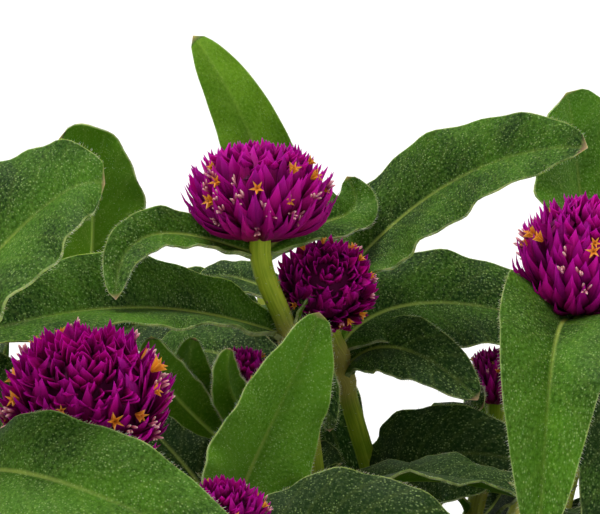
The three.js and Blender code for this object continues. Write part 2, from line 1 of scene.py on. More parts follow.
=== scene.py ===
# %% [markdown]
# # A potted globe amaranth
# This lesson dresses the solids of a small bedding plant: a plastic pot, its compost, sixteen
# leafy stems and their sixteen flower heads. The solids fix every place and size, so the first
# step loads them and keeps the box they fill. Lengths are worked out in millimetres and turned
# to metres only when a mesh is written, because a leaf is easier to think of as 45 long.

# %% Load the solids
import math

import bmesh
import bpy
import numpy as np
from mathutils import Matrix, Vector, noise


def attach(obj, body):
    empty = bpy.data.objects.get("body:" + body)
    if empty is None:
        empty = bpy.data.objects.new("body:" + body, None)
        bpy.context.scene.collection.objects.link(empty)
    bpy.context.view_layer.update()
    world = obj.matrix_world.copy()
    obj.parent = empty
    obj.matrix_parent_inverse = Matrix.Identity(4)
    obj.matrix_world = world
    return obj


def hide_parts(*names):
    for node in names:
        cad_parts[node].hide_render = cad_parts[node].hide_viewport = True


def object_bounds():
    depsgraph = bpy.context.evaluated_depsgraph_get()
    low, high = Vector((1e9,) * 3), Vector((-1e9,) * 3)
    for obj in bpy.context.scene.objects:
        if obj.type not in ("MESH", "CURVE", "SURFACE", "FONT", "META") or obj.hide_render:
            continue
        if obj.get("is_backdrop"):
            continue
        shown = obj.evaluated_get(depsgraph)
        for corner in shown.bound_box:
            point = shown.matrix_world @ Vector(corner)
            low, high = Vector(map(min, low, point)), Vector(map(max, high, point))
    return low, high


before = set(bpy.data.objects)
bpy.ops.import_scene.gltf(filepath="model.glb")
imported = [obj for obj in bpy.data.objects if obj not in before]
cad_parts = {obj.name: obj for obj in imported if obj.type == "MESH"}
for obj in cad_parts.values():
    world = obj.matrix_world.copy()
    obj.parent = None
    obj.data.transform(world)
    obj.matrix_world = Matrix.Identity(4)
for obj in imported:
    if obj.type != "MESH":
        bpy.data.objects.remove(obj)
cad_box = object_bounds()
MM = 0.001
print("solids:", len(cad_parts), "nodes, top at", round(cad_box[1].z / MM, 1), "mm")

# %% [markdown]
# ## Where everything grows
# A globe amaranth carries its leaves in opposite pairs, each pair a quarter turn from the one
# below, and each shoot ends in a flower head with two small leaves close under it. The numbers
# here are the ones that the solids are grown from: the places of the shoots, and the leaves that
# are listed one by one. Using the same rule and the same draws puts each fine leaf where its solid
# is.

# %% Sizes and places
POT_HEIGHT = 94
POT_BASE_RADIUS = 43.5
POT_BODY_RADIUS = 56.2
POT_RIM_RADIUS = 60
POT_RIM_BAND = 13
POT_WALL = 2
POT_FLOOR = 3.6
SOIL_EDGE = 86.5
SOIL_MOUND = 3.5
HOLE_DEPTH = 13
GAP = 0.3
STEM_FOOT_RADIUS = 2.3
STEM_TOP_RADIUS = 1.7
COLLAR_DROP = 2.2
NECK_WIDTH = 0.95
BASE_POWER, TIP_POWER = 0.75, 0.52
FORK_LIFT = 0.3
WAVE_SHARE, WAVE_COUNT, WAVE_SHIFT = 0.045, 3.5, 1.9
SMALL_HEAD = 8.5
JOINT_RULE = {"length": (42, 54), "rise": (0.4, 0.7), "fall": (-0.15, 0.35)}
COLLAR_RULE = {"length": (26, 34), "rise": (0.1, 0.25), "fall": (-0.1, 0.35)}
RULE_WIDTH = (0.37, 0.43)
EYE = np.array([0, -406, 225.0])
EYE_PITCH = math.radians(7)
LOW = [0.2, 0.46, 0.76]
TALL = [0.16, 0.36, 0.58, 0.8]
BENT = [0.22, 0.5, 0.92]

# A shoot: root, last leaf joint, middle and axis of its head, radius, height, turn, joints.
SHOOTS = [
    [(4, 1), (-1.6, -7, 161.6), (-6.8, -7.6, 187.3), (0, 0, 1), 12.5, 17.5, 20, TALL],
    [(21, 16), (6.8, 13, 156), (4.6, -1.5, 170.6), (0.1, -0.8, 0.55), 9, 13.5, 60, BENT],
    [(-13, -9), (-12.5, -13, 145), (-9.3, -11.4, 156.6), (0, -0.3, 0.95), 5.6, 9, 50, TALL],
    [(-22, -27), (-29, -37, 138), (-32.9, -49.3, 159.5), (0, -0.6, 0.8), 13.5, 19, 10, LOW],
    [(-5, -24), (-9, -32, 122), (-12.3, -43, 139.3), (0, -0.3, 0.95), 8, 12, 30, LOW],
    [(28, -20), (40, -28, 147), (45.9, -36.8, 179.8), (0.15, -0.25, 0.95), 12.1, 19, 70, TALL],
    [(25, 30), (34, 29, 130), (36.6, 28, 149.4), (0, 0, 1), 6.6, 11, 35, LOW],
    [(-34, -28), (-52, -58, 146), (-67, -63, 178), (-0.3, -0.2, 1), 11, 17, 15, TALL],
    [(-29, 12), (-38, 14, 154), (-58, 22, 174), (-0.5, 0.1, 1), 11.5, 17, 80, TALL],
    [(-3, 31), (-6, 42, 156), (-7.3, 52, 178.5), (0, 0.1, 1), 10.5, 15, 0, TALL],
    [(42, 12), (54, 26, 148), (61, 30, 173), (0.2, 0.1, 1), 11.5, 17, 25, TALL],
    [(12, -38), (17, -46, 108), (21, -57, 121), (0.1, -0.4, 1), 11, 16, 55, LOW],
    [(-20, 36), (-32, 46, 117), (-39, 52, 136), (-0.1, 0.3, 1), 11, 16, 40, LOW],
    [(43, -8), (58, -10, 118), (66, -10, 140), (0.3, 0, 1), 11, 16, 5, LOW],
    [(26, 42), (44, 50, 126), (53, 54, 147), (0.2, 0.3, 1), 10.5, 15, 65, LOW],
    [(-44, -6), (-56, -12, 128), (-62, -14, 150), (-0.3, 0, 1), 10.5, 15, 45, LOW],
]

# A listed leaf: shoot, joint, two points that its midrib bends towards, tip, width, fold,
# roll, and where along it the leaf is widest.
SET_LEAVES = [
    [0, "collar", (-17, -6, 179.5), (-31, -13.5, 186), (-30, -24, 171), 9.5, 20, 40, 0.5],
    [0, "collar", (0.5, 4, 183.5), (14.5, 12, 177.5), (8.3, 13, 188), 10.5, 15, -35, 0.5],
    [0, "fork", (-18.5, -8, 169), (-39, -23.5, 173), (-64, -44, 162.7), 20, 26, 35, 0.52],
    [0, "fork", (0, -9, 161), (4, -12, 156), (5, -13, 147), 7, 15, -20, 0.5],
    [0, 0.8, (-8, 5, 157), (-18, 10, 161), (-30, 13, 153), 14, 12, 35, 0.5],
    [1, "collar", (13, 18, 177.5), (30, 5.5, 195), (48, -12.5, 195), 21, 14, -55, 0.42],
    [1, "collar", (-8, 16, 167), (-13, 22, 172), (-20, 22, 167), 8, 15, 30, 0.5],
    [1, "fork", (12.6, 17, 168), (33, 22.5, 166), (53, 18, 157.5), 20, 10, -50, 0.5],
    [1, 0.92, (11, 12, 160), (21, 9, 160), (31, 0, 150), 13, 10, -45, 0.5],
    [2, "fork", (-18, -19, 152), (-24.5, -21.5, 156.5), (-24.5, -20.5, 164.5), 9, 15, -50, 0.5],
    [2, "collar", (-16, -14, 149), (-20.5, -16, 157), (-17.5, -15.5, 163.5), 8, 15, -40, 0.5],
    [2, "collar", (-8, -19.5, 149.5), (-14, -22, 156), (-11.5, -20, 162.5), 7, 10, -50, 0.5],
    [4, "collar", (-13, -23, 136.5), (-2.5, -24, 153), (3.2, -20, 168.5), 18.5, 16, -62, 0.42],
    [4, "collar", (-2, -36, 135), (10, -38, 144.5), (28, -46, 131), 17, 16, -40, 0.5],
    [5, "collar", (38, -51, 175), (37, -60, 165.5), (35.5, -61, 138), 22, 25, 14, 0.2],
    [5, "collar", (51, -42, 170), (51, -46, 152), (46, -50, 131), 15, 10, 0, 0.5],
    [7, "collar", (-49, -64, 173.5), (-37, -69, 196.5), (-28, -67, 194), 24, 10, -50, 0.5],
    [7, "fork", (-47, -70, 158), (-26, -77, 150.5), (-7, -84, 141.5), 20, 10, -45, 0.5],
    [8, "fork", (-38, 15.5, 174), (-33.8, 18.5, 191.5), (-43, 15.5, 194.5), 18.5, 16, -80, 0.5],
    [9, "collar", (0, 31, 172), (-8, 36, 197), (-20.3, 44, 212), 13.5, 14, -60, 0.5],
    [10, "collar", (54, 48, 161), (54, 52, 193), (51, 48, 201), 26, 10, -15, 0.5],
    [1, 0.5, (14, 9, 135), (24, 10, 142.5), (42, 6, 137), 21, 5, -60, 0.45],
    [6, "fork", (27, 24, 139), (27, 18, 149), (33, 14, 146), 13, 12, -25, 0.5],
    [9, "fork", (-16, 40, 163), (-28, 38, 162), (-42, 35, 150), 17, 12, 45, 0.5],
    [9, 0.8, (-14, 33, 150), (-26, 28, 150), (-38, 27, 139), 16, 12, 45, 0.5],
    [9, 0.8, (2, 34, 149), (5, 30, 146), (9, 27, 128), 15, 12, -45, 0.5],
    [3, "collar", (-46, -41, 153), (-52, -35, 163), (-61, -33, 160), 14, 15, 62, 0.5],
    [15, "collar", (-50, -23, 139), (-47.5, -27, 156), (-47.5, -26, 166), 11, 15, -60, 0.5],
    [2, 0.8, (-18, -12, 140), (-25, -8, 146), (-30, -4, 150), 13, 15, 30, 0.5],
]

# Leaves are painted lighter from this height up and darker below it: young leaves at the top are
# paler, and the lower ones get painted shade, where the foliage is dense and shaded. Listed leaves,
# by their row, also get painted light where their number is above zero and painted shade where it
# is below.
YOUTH_AND_SHADE_HEIGHT = 172
PAINTED_LEAF_LIGHT_AND_SHADE = {2: 0.1, 5: -0.1, 12: 0.85, 13: -0.3, 14: 0.25, 16: -0.1, 17: 0.4, 18: -0.35,
              19: -0.05, 20: 0.2}
print("shoots:", len(SHOOTS), "leaves set by hand:", len(SET_LEAVES))

# %% [markdown]
# ## Bent lines
# A midrib, a stem and a bract are all drawn along a curve with four control points, the same kind
# that a curve object has. Here the curve is worked out directly, for many lines and many shares of
# their length at once, because the next steps ask for hundreds of thousands of points.

# %% Bent lines
plant_seed = 20261


def draw(low, high):
    """The next number between low and high, the same in every run."""
    global plant_seed
    plant_seed = plant_seed * 16807 % 2147483647
    return low + (high - low) * (plant_seed / 2147483647)


def unit(way):
    return way / np.linalg.norm(way, axis=-1, keepdims=True)


def bent(lines, t):
    """Points at shares t of the lines; lines is (many, 4, 3) and the answer (many, shares, 3)."""
    t = np.asarray(t, float)[..., None]
    a, b, c, d = (lines[:, None, k] for k in range(4))
    return (1 - t) ** 3 * a + 3 * (1 - t) ** 2 * t * b + 3 * (1 - t) * t * t * c + t ** 3 * d


def heading(lines, t):
    """Unit directions of the lines at shares t."""
    t = np.asarray(t, float)[..., None]
    a, b, c, d = (lines[:, None, k] for k in range(4))
    return unit((1 - t) ** 2 * (b - a) + 2 * (1 - t) * t * (c - b) + t * t * (d - c))


def one_line(*points):
    return np.array([points], float)


def soil_height(x, y):
    return SOIL_EDGE + SOIL_MOUND * (1 - (np.hypot(x, y) / POT_BODY_RADIUS) ** 2)


def shoot_lines(root, fork, head, axis, height):
    """The foot of a shoot, the line up to its last joint, and the line of its flower stalk."""
    up = np.array([0, 0, 1.0])
    ground = soil_height(*root)
    start = np.array([*root, ground + 1.5])
    fork, axis = np.array(fork, float), unit(np.array(axis, float))
    base = np.array(head, float) - axis * (height / 2 + GAP)
    way = unit(unit(base - fork) + FORK_LIFT * up)
    bend = np.linalg.norm(fork - start) * 0.36
    reach = np.linalg.norm(base - fork) * 0.38
    foot = np.array([*root, ground - HOLE_DEPTH + GAP])
    shoot = one_line(start, start + up * bend, fork - way * bend, fork)
    stalk = one_line(fork, fork + way * reach, base - axis * reach, base)
    return {"foot": foot, "axis": axis, "shoot": shoot, "stalk": stalk}


def joint_share(lines, joint):
    """The line that a leaf joint lies on, and its share of that line."""
    if joint == "collar":
        length = np.linalg.norm(lines["stalk"][0, 3] - lines["stalk"][0, 0])
        return lines["stalk"], 1 - COLLAR_DROP / length
    return lines["shoot"], 1.0 if joint == "fork" else joint


plants = []
for root, fork, head, axis, radius, height, turn, joints in SHOOTS:
    lines = shoot_lines(root, fork, head, axis, height)
    plants.append({"head": np.array(head, float), "radius": radius, "height": height,
                   "turn": turn, "joints": joints, "lines": lines, "leaves": []})
print("tallest head reaches", max(p["head"][2] + p["height"] / 2 for p in plants), "mm")

# %% [markdown]
# ## A blade in space
# A leaf or a bract is a flat outline carried along its bent midrib: at each share of the length a
# small frame says which way is across the blade and which way is up from it. The blade is then
# folded a little along the midrib, like an open book, and its margins rise and fall in a wave.

# %% Blades in space
def blade_of(line, width, fold, roll, widest, phase):
    """A leaf as the arrays that the next functions read, one row to a leaf."""
    way = line[0, 3] - line[0, 0]
    return {"line": line, "aside": unit(np.array([[[way[1], -way[0], 0.0]]])),
            "width": np.array([[width]]), "fold": np.array([[fold]]), "roll": np.array([[roll]]),
            "power": np.array([[math.log(0.5) / math.log(widest)]]), "phase": np.array([[phase]])}


def blade_frames(leaf, t):
    """Middle, across, up and along at shares t of the blades."""
    along = heading(leaf["line"], t)
    up = unit(np.cross(leaf["aside"], along))
    across = np.cross(along, up)
    cos, sin = np.cos(leaf["roll"])[..., None], np.sin(leaf["roll"])[..., None]
    return bent(leaf["line"], t), across * cos + up * sin, up * cos - across * sin, along


def leaf_half(leaf, t):
    """Half the width of a leaf: lance-shaped, with a neck where it leaves the stem."""
    turn = np.pi * t ** leaf["power"]
    outline = np.maximum(0, np.sin(turn)) ** np.where(turn < np.pi / 2, BASE_POWER, TIP_POWER)
    return np.maximum(leaf["width"] / 2 * outline, NECK_WIDTH * (1 - t) ** 2)


def leaf_wave(leaf, t, u):
    beat = 2 * np.pi * WAVE_COUNT * t + leaf["phase"] + np.where(u > 0, WAVE_SHIFT, 0)
    return WAVE_SHARE * leaf["width"] * np.sin(np.pi * t) * np.sin(beat) * u * u


def leaf_points(leaf, t, u):
    """Points of the bare leaf shape, u running from -1 at one margin to 1 at the other."""
    middle, across, up, _ = blade_frames(leaf, t)
    half, fold = leaf_half(leaf, t), leaf["fold"]
    rise = np.abs(u) * half * np.sin(fold) + leaf_wave(leaf, t, u)
    return middle + across * (u * half * np.cos(fold))[..., None] + up * rise[..., None]


TEST_T, TEST_U = (side.ravel() for side in np.meshgrid(
    np.arange(1, 15) / 14, np.arange(-2, 3) / 2, indexing="ij"))
print("each leaf is tested at", len(TEST_T), "points")

# %% [markdown]
# ## Growing the leaves
# First come the listed leaves, then each joint that lacks one gets it by rule. A
# rule leaf is turned, lifted or made smaller until it is clear of what already grows there, of the
# pot's rim and of the open view from the front, just as the solids were grown. A leaf that fits
# nowhere is left out. The tests run on arrays, so the whole plant grows in about a second.

# %% Grow the leaves
HEADS = np.array([p["head"] for p in plants])
HEAD_AXES = np.array([p["lines"]["axis"] for p in plants])
HEAD_SIZES = np.array([[p["radius"] + 1.6, p["height"] / 2 + 1.6] for p in plants])
ROD_STEPS = np.arange(21) / 20
RODS = np.array([[bent(p["lines"]["shoot"], ROD_STEPS)[0], bent(p["lines"]["stalk"], ROD_STEPS)[0]]
                 for p in plants])
ROD_CLEAR = np.array([STEM_FOOT_RADIUS, STEM_TOP_RADIUS])[:, None, None] + 1.6
TRIES = [(scale, swing, lift) for scale in (1, 0.85, 0.7, 0.55)
         for swing in (0, 0.3, -0.3, 0.6, -0.6, 0.9, -0.9) for lift in (0, 0.35, -0.35, 0.7)]
grown = []


def leaf_sample(leaf, owner):
    points = leaf_points(leaf, TEST_T, TEST_U)[0]
    middle = bent(leaf["line"], [0.5])[0, 0]
    reach = np.linalg.norm(points - middle, axis=1).max()
    return {"owner": owner, "points": points, "free": points[10:], "middle": middle, "reach": reach}


def spread(first, second):
    return np.linalg.norm(first[:, None] - second[None], axis=2)


def allowed_place(points):
    """True where a leaf clears the pot and soil and stays out of the open view from the front."""
    x, y, z = points.T
    out = np.hypot(x, y)
    ground = np.where(out > POT_BODY_RADIUS - 2, POT_HEIGHT, soil_height(x, y))
    off_pot = (out > POT_RIM_RADIUS + 2) | (z > ground + 2)
    ahead, above = y - EYE[1], z - EYE[2]
    depth = ahead * math.cos(EYE_PITCH) - above * math.sin(EYE_PITCH)
    side = (x - EYE[0]) / depth
    rise = (ahead * math.sin(EYE_PITCH) + above * math.cos(EYE_PITCH)) / depth
    gap = (rise > -0.076) & (rise < -0.046) & (side > 0.017) & (side < 0.068)
    hidden = ((y > 12) & (rise < -0.019)) | ((y > -22) & (rise < -0.068))
    outside = (np.abs(side) > 0.131) | (rise < -0.1086)
    return off_pot & (outside | hidden) & ~gap


def leaf_fits(sample):
    if not allowed_place(sample["points"]).all():
        return False
    local = sample["free"][:, None] - HEADS[None]
    along = (local * HEAD_AXES).sum(2)
    out = np.sqrt(np.maximum(0, (local ** 2).sum(2) - along ** 2))
    if (np.hypot(out / HEAD_SIZES[:, 0], along / HEAD_SIZES[:, 1]) <= 1).any():
        return False
    for owner, rods in enumerate(RODS):
        points = sample["free"] if owner == sample["owner"] else sample["points"]
        if (np.linalg.norm(points - rods[:, :, None], axis=3) <= ROD_CLEAR).any():
            return False
    for other in grown:
        apart = np.linalg.norm(other["middle"] - sample["middle"])
        if apart > other["reach"] + sample["reach"] + 3.4:
            continue
        same = other["owner"] == sample["owner"]
        part, clear = ("free", 2.2) if same else ("points", 3.4)
        if (spread(sample[part], other[part]) <= clear).any():
            return False
    return True


def rule_line(place, axis, azimuth, length, rise, fall):
    level = np.array([math.cos(azimuth), math.sin(azimuth), 0])
    start = unit(level - axis * level.dot(axis)) * math.cos(rise) + axis * math.sin(rise)

    def aim(angle, reach):
        return place + level * reach * math.cos(angle) + np.array([0, 0, reach * math.sin(angle)])

    return one_line(place, place + start * length * 0.36, aim(fall + 0.35 * rise, length * 0.72),
                    aim(fall, length))


def keep_leaf(leaf, owner, joint, hand_set):
    plants[owner]["leaves"].append({**leaf, "joint": joint, "set": hand_set})
    grown.append(leaf_sample(leaf, owner))


for row, (owner, joint, toward, over, tip, width, fold, roll, widest) in enumerate(SET_LEAVES):
    line, share = joint_share(plants[owner]["lines"], joint)
    midrib = one_line(bent(line, [share])[0, 0], toward, over, tip)
    leaf = blade_of(midrib, width, math.radians(fold), math.radians(roll), widest, draw(0, 6))
    # A listed leaf's tone is painted light where it is above zero and painted shade where it is
    # below.
    keep_leaf({**leaf, "tone": PAINTED_LEAF_LIGHT_AND_SHADE.get(row, 0.0)}, owner, joint, True)

for owner, plant in enumerate(plants):
    for order, joint in enumerate([*plant["joints"], "fork", "collar"]):
        line, share = joint_share(plant["lines"], joint)
        place = bent(line, [share])[0, 0]
        pair = [leaf for leaf in plant["leaves"] if leaf["joint"] == joint]
        first = math.radians(plant["turn"] + 90 * order)
        if pair:
            aside = pair[0]["aside"][0, 0]
            first = math.atan2(aside[0], -aside[1])
        rule = COLLAR_RULE if joint == "collar" else JOINT_RULE
        axis = plant["lines"]["axis"] if joint == "collar" else heading(line, [share])[0, 0]
        for side in range(len(pair), 2):
            length = draw(*rule["length"]) * (0.75 if plant["radius"] < SMALL_HEAD else 1)
            rise, fall = draw(*rule["rise"]), draw(*rule["fall"])
            width, phase = length * draw(*RULE_WIDTH), draw(0, 6)
            for scale, swing, lift in TRIES:
                midrib = rule_line(place, axis, first + math.pi * side + swing, length * scale,
                                   rise, fall + lift)
                leaf = blade_of(midrib, width * scale, math.radians(15), 0.0, 0.5, phase)
                if leaf_fits(leaf_sample(leaf, owner)):
                    keep_leaf(leaf, owner, joint, False)
                    break
print("leaves grown:", len(grown))

# %% [markdown]
# ## From one modelled shape to many
# A hair, a bract or a crumb is modelled once, with Blender's own mesh operators, and then repeated
# hundreds of times. Joining that many objects would be slow, so a shape is read out as arrays, its
# points are moved for every copy at once, and one mesh is written for the whole piece. Two vectors
# go with each point for the materials: its place on the blade in millimetres with a blush, and
# its share across and along with a tint of its own.

# %% Shapes and pieces
rng = np.random.default_rng(11)


def shape_of(modelled, *sizes):
    """Runs one function that models a shape, and reads the result into arrays."""
    bm = bmesh.new()
    modelled(bm, *sizes)
    bmesh.ops.recalc_face_normals(bm, faces=bm.faces[:])
    bm.verts.index_update()
    shape = {"co": np.array([v.co[:] for v in bm.verts]),
             "corners": np.array([v.index for f in bm.faces for v in f.verts]),
             "sizes": np.array([len(f.verts) for f in bm.faces]),
             "down": np.array([f.normal.z < -0.5 for f in bm.faces])}
    bm.free()
    return shape


def new_piece(name, mesh, node):
    """Puts a finished mesh in the scene as a piece that stands for a solid."""
    piece = bpy.data.objects.new(name, mesh)
    bpy.context.scene.collection.objects.link(piece)
    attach(piece, "root")
    if node:
        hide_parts(node)
    return piece


class Growth:
    """Gathers many placed shapes and writes them as one mesh."""

    def __init__(self):
        self.parts = {key: [] for key in ("co", "corners", "sizes", "finish", "blade", "share")}
        self.count = 0

    def add(self, shape, places, finish, blade=(0, 0, 0), share=(0, 0, 0)):
        """places is (many, points, 3); finish is a material's number, or one for each face."""
        many, points = places.shape[:2]
        first = self.count + points * np.arange(many)[:, None]
        full = (many, points, 3)
        self.parts["co"].append(places.reshape(-1, 3))
        self.parts["corners"].append((shape["corners"] + first).ravel())
        self.parts["sizes"].append(np.tile(shape["sizes"], many))
        self.parts["finish"].append(np.tile(np.broadcast_to(finish, shape["sizes"].shape), many))
        self.parts["blade"].append(np.broadcast_to(blade, full).reshape(-1, 3))
        self.parts["share"].append(np.broadcast_to(share, full).reshape(-1, 3))
        self.count += many * points

    def mesh(self, name, materials, sharp=50):
        whole = {key: np.concatenate(value) for key, value in self.parts.items()}
        mesh = bpy.data.meshes.new(name)
        mesh.vertices.add(self.count)
        mesh.vertices.foreach_set("co", (whole["co"] * MM).astype(np.float32).ravel())
        mesh.loops.add(len(whole["corners"]))
        mesh.loops.foreach_set("vertex_index", whole["corners"].astype(np.int32))
        mesh.polygons.add(len(whole["sizes"]))
        starts = np.concatenate([[0], np.cumsum(whole["sizes"])[:-1]])
        mesh.polygons.foreach_set("loop_start", starts.astype(np.int32))
        mesh.polygons.foreach_set("material_index", whole["finish"].astype(np.int32))
        for key in ("blade", "share"):
            layer = mesh.attributes.new(key, "FLOAT_VECTOR", "POINT")
            layer.data.foreach_set("vector", whole[key].astype(np.float32).ravel())
        mesh.update(calc_edges=True)
        mesh.shade_smooth()
        mesh.set_sharp_from_angle(angle=math.radians(sharp))
        for material in materials:
            mesh.materials.append(material)
        return mesh


def triangles(mesh):
    return sum(len(face.vertices) - 2 for face in mesh.polygons)


# %% [markdown]
# ## The shapes to repeat
# A blade starts as a flat grid, is given thickness by solidify and closed to a point at its tip. A
# stem starts as a ten-sided cylinder cut into rings. A hair is a three-sided cone: nobody sees
# its sides at a tenth of a millimetre, and there are tens of thousands of them.

# %% Model the shapes
STEM_RINGS = 84
HEAD_ENTRY = 1.5


def model_blade(bm, rows, columns):
    """A flat blade in a two by two square, top at z 1 and underside at -1."""
    bmesh.ops.create_grid(bm, x_segments=columns, y_segments=rows, size=1)
    bmesh.ops.solidify(bm, geom=bm.faces[:], thickness=2)
    low, high = (pick(v.co.z for v in bm.verts) for pick in (min, max))
    bmesh.ops.translate(bm, verts=bm.verts[:], vec=(0, 0, -(low + high) / 2))
    tip = [v for v in bm.verts if v.co.y > 0.999]
    bmesh.ops.pointmerge(bm, verts=tip, merge_co=(0, 1, 0))


def model_rod(bm, rings):
    """An upright rod of radius 1 and length 1, cut into rings."""
    bmesh.ops.create_cone(bm, cap_ends=True, segments=10, radius1=1, radius2=1, depth=1)
    upright = [e for e in bm.edges if abs(e.verts[0].co.z - e.verts[1].co.z) > 0.5]
    bmesh.ops.subdivide_edges(bm, edges=upright, cuts=rings)
    bmesh.ops.translate(bm, verts=bm.verts[:], vec=(0, 0, 0.5))


def model_hair(bm):
    bmesh.ops.create_cone(bm, cap_ends=True, segments=3, radius1=1, radius2=0, depth=1)
    bmesh.ops.remove_doubles(bm, verts=bm.verts[:], dist=0.01)
    bmesh.ops.translate(bm, verts=bm.verts[:], vec=(0, 0, 0.5))


FINE_LEAF = shape_of(model_blade, 44, 14)
PLAIN_LEAF = shape_of(model_blade, 28, 8)
SMALL_LEAF = shape_of(model_blade, 14, 6)
BRACT = shape_of(model_blade, 6, 2)
ROD = shape_of(model_rod, STEM_RINGS)
HAIR = shape_of(model_hair)
for title, shape in {"fine leaf": FINE_LEAF, "bract": BRACT, "rod": ROD, "hair": HAIR}.items():
    print(title, len(shape["co"]), "points", len(shape["sizes"]), "faces")

# %% [markdown]
# ## Colours and surfaces
# Leaves of this plant are dark green above and paler below, with fine white hairs that read as a
# frosting, a pale midrib and a pale hairy margin. The materials draw that from the two vectors of
# each point, so that the pattern follows the blade. Colours are given as sRGB hex values and one
# function turns them to the linear light that the shader works in.

# %% Helpers for materials
def colour(code):
    """A linear RGBA colour from an sRGB hex code."""
    parts = [int(code[k:k + 2], 16) / 255 for k in (1, 3, 5)]
    return [c / 12.92 if c < 0.04045 else ((c + 0.055) / 1.055) ** 2.4 for c in parts] + [1]


def add_node(tree, kind, inputs=None, **settings):
    """Adds a node; an input is a value, or the output socket of another node."""
    node = tree.nodes.new(kind)
    for name, value in settings.items():
        setattr(node, name, value)
    for socket, value in (inputs or {}).items():
        if isinstance(value, bpy.types.NodeSocket):
            tree.links.new(value, node.inputs[socket])
        else:
            node.inputs[socket].default_value = value
    return node


def start_material(name, **settings):
    """A new material with its shader; settings are the shader's own sockets."""
    material = bpy.data.materials.new(name)
    material.use_nodes = True
    shader = material.node_tree.nodes["Principled BSDF"]
    for socket, value in settings.items():
        shader.inputs[socket.replace("_", " ")].default_value = value
    return material, material.node_tree, shader


def set_ramp(node, *stops):
    """Gives a colour ramp its stops: place and hex code, or place and a grey value."""
    ramp = node.color_ramp
    while len(ramp.elements) < len(stops):
        ramp.elements.new(0.5)
    for element, (place, shown) in zip(ramp.elements, stops):
        element.position = place
        element.color = colour(shown) if isinstance(shown, str) else (shown, shown, shown, 1)
    return node


# %% [markdown]
# ## The leaf
# One function makes the upper and the lower side, which differ in colour, in how much the hairs
# cover and in how far the midrib stands out. The frosting is a Voronoi pattern with one dot to
# 0.4 mm, each of its own strength, over a softer bloom from a fine noise. Side veins leave the
# midrib every 5 mm and sweep towards the tip. The blush turns the tip and the base a little pink.

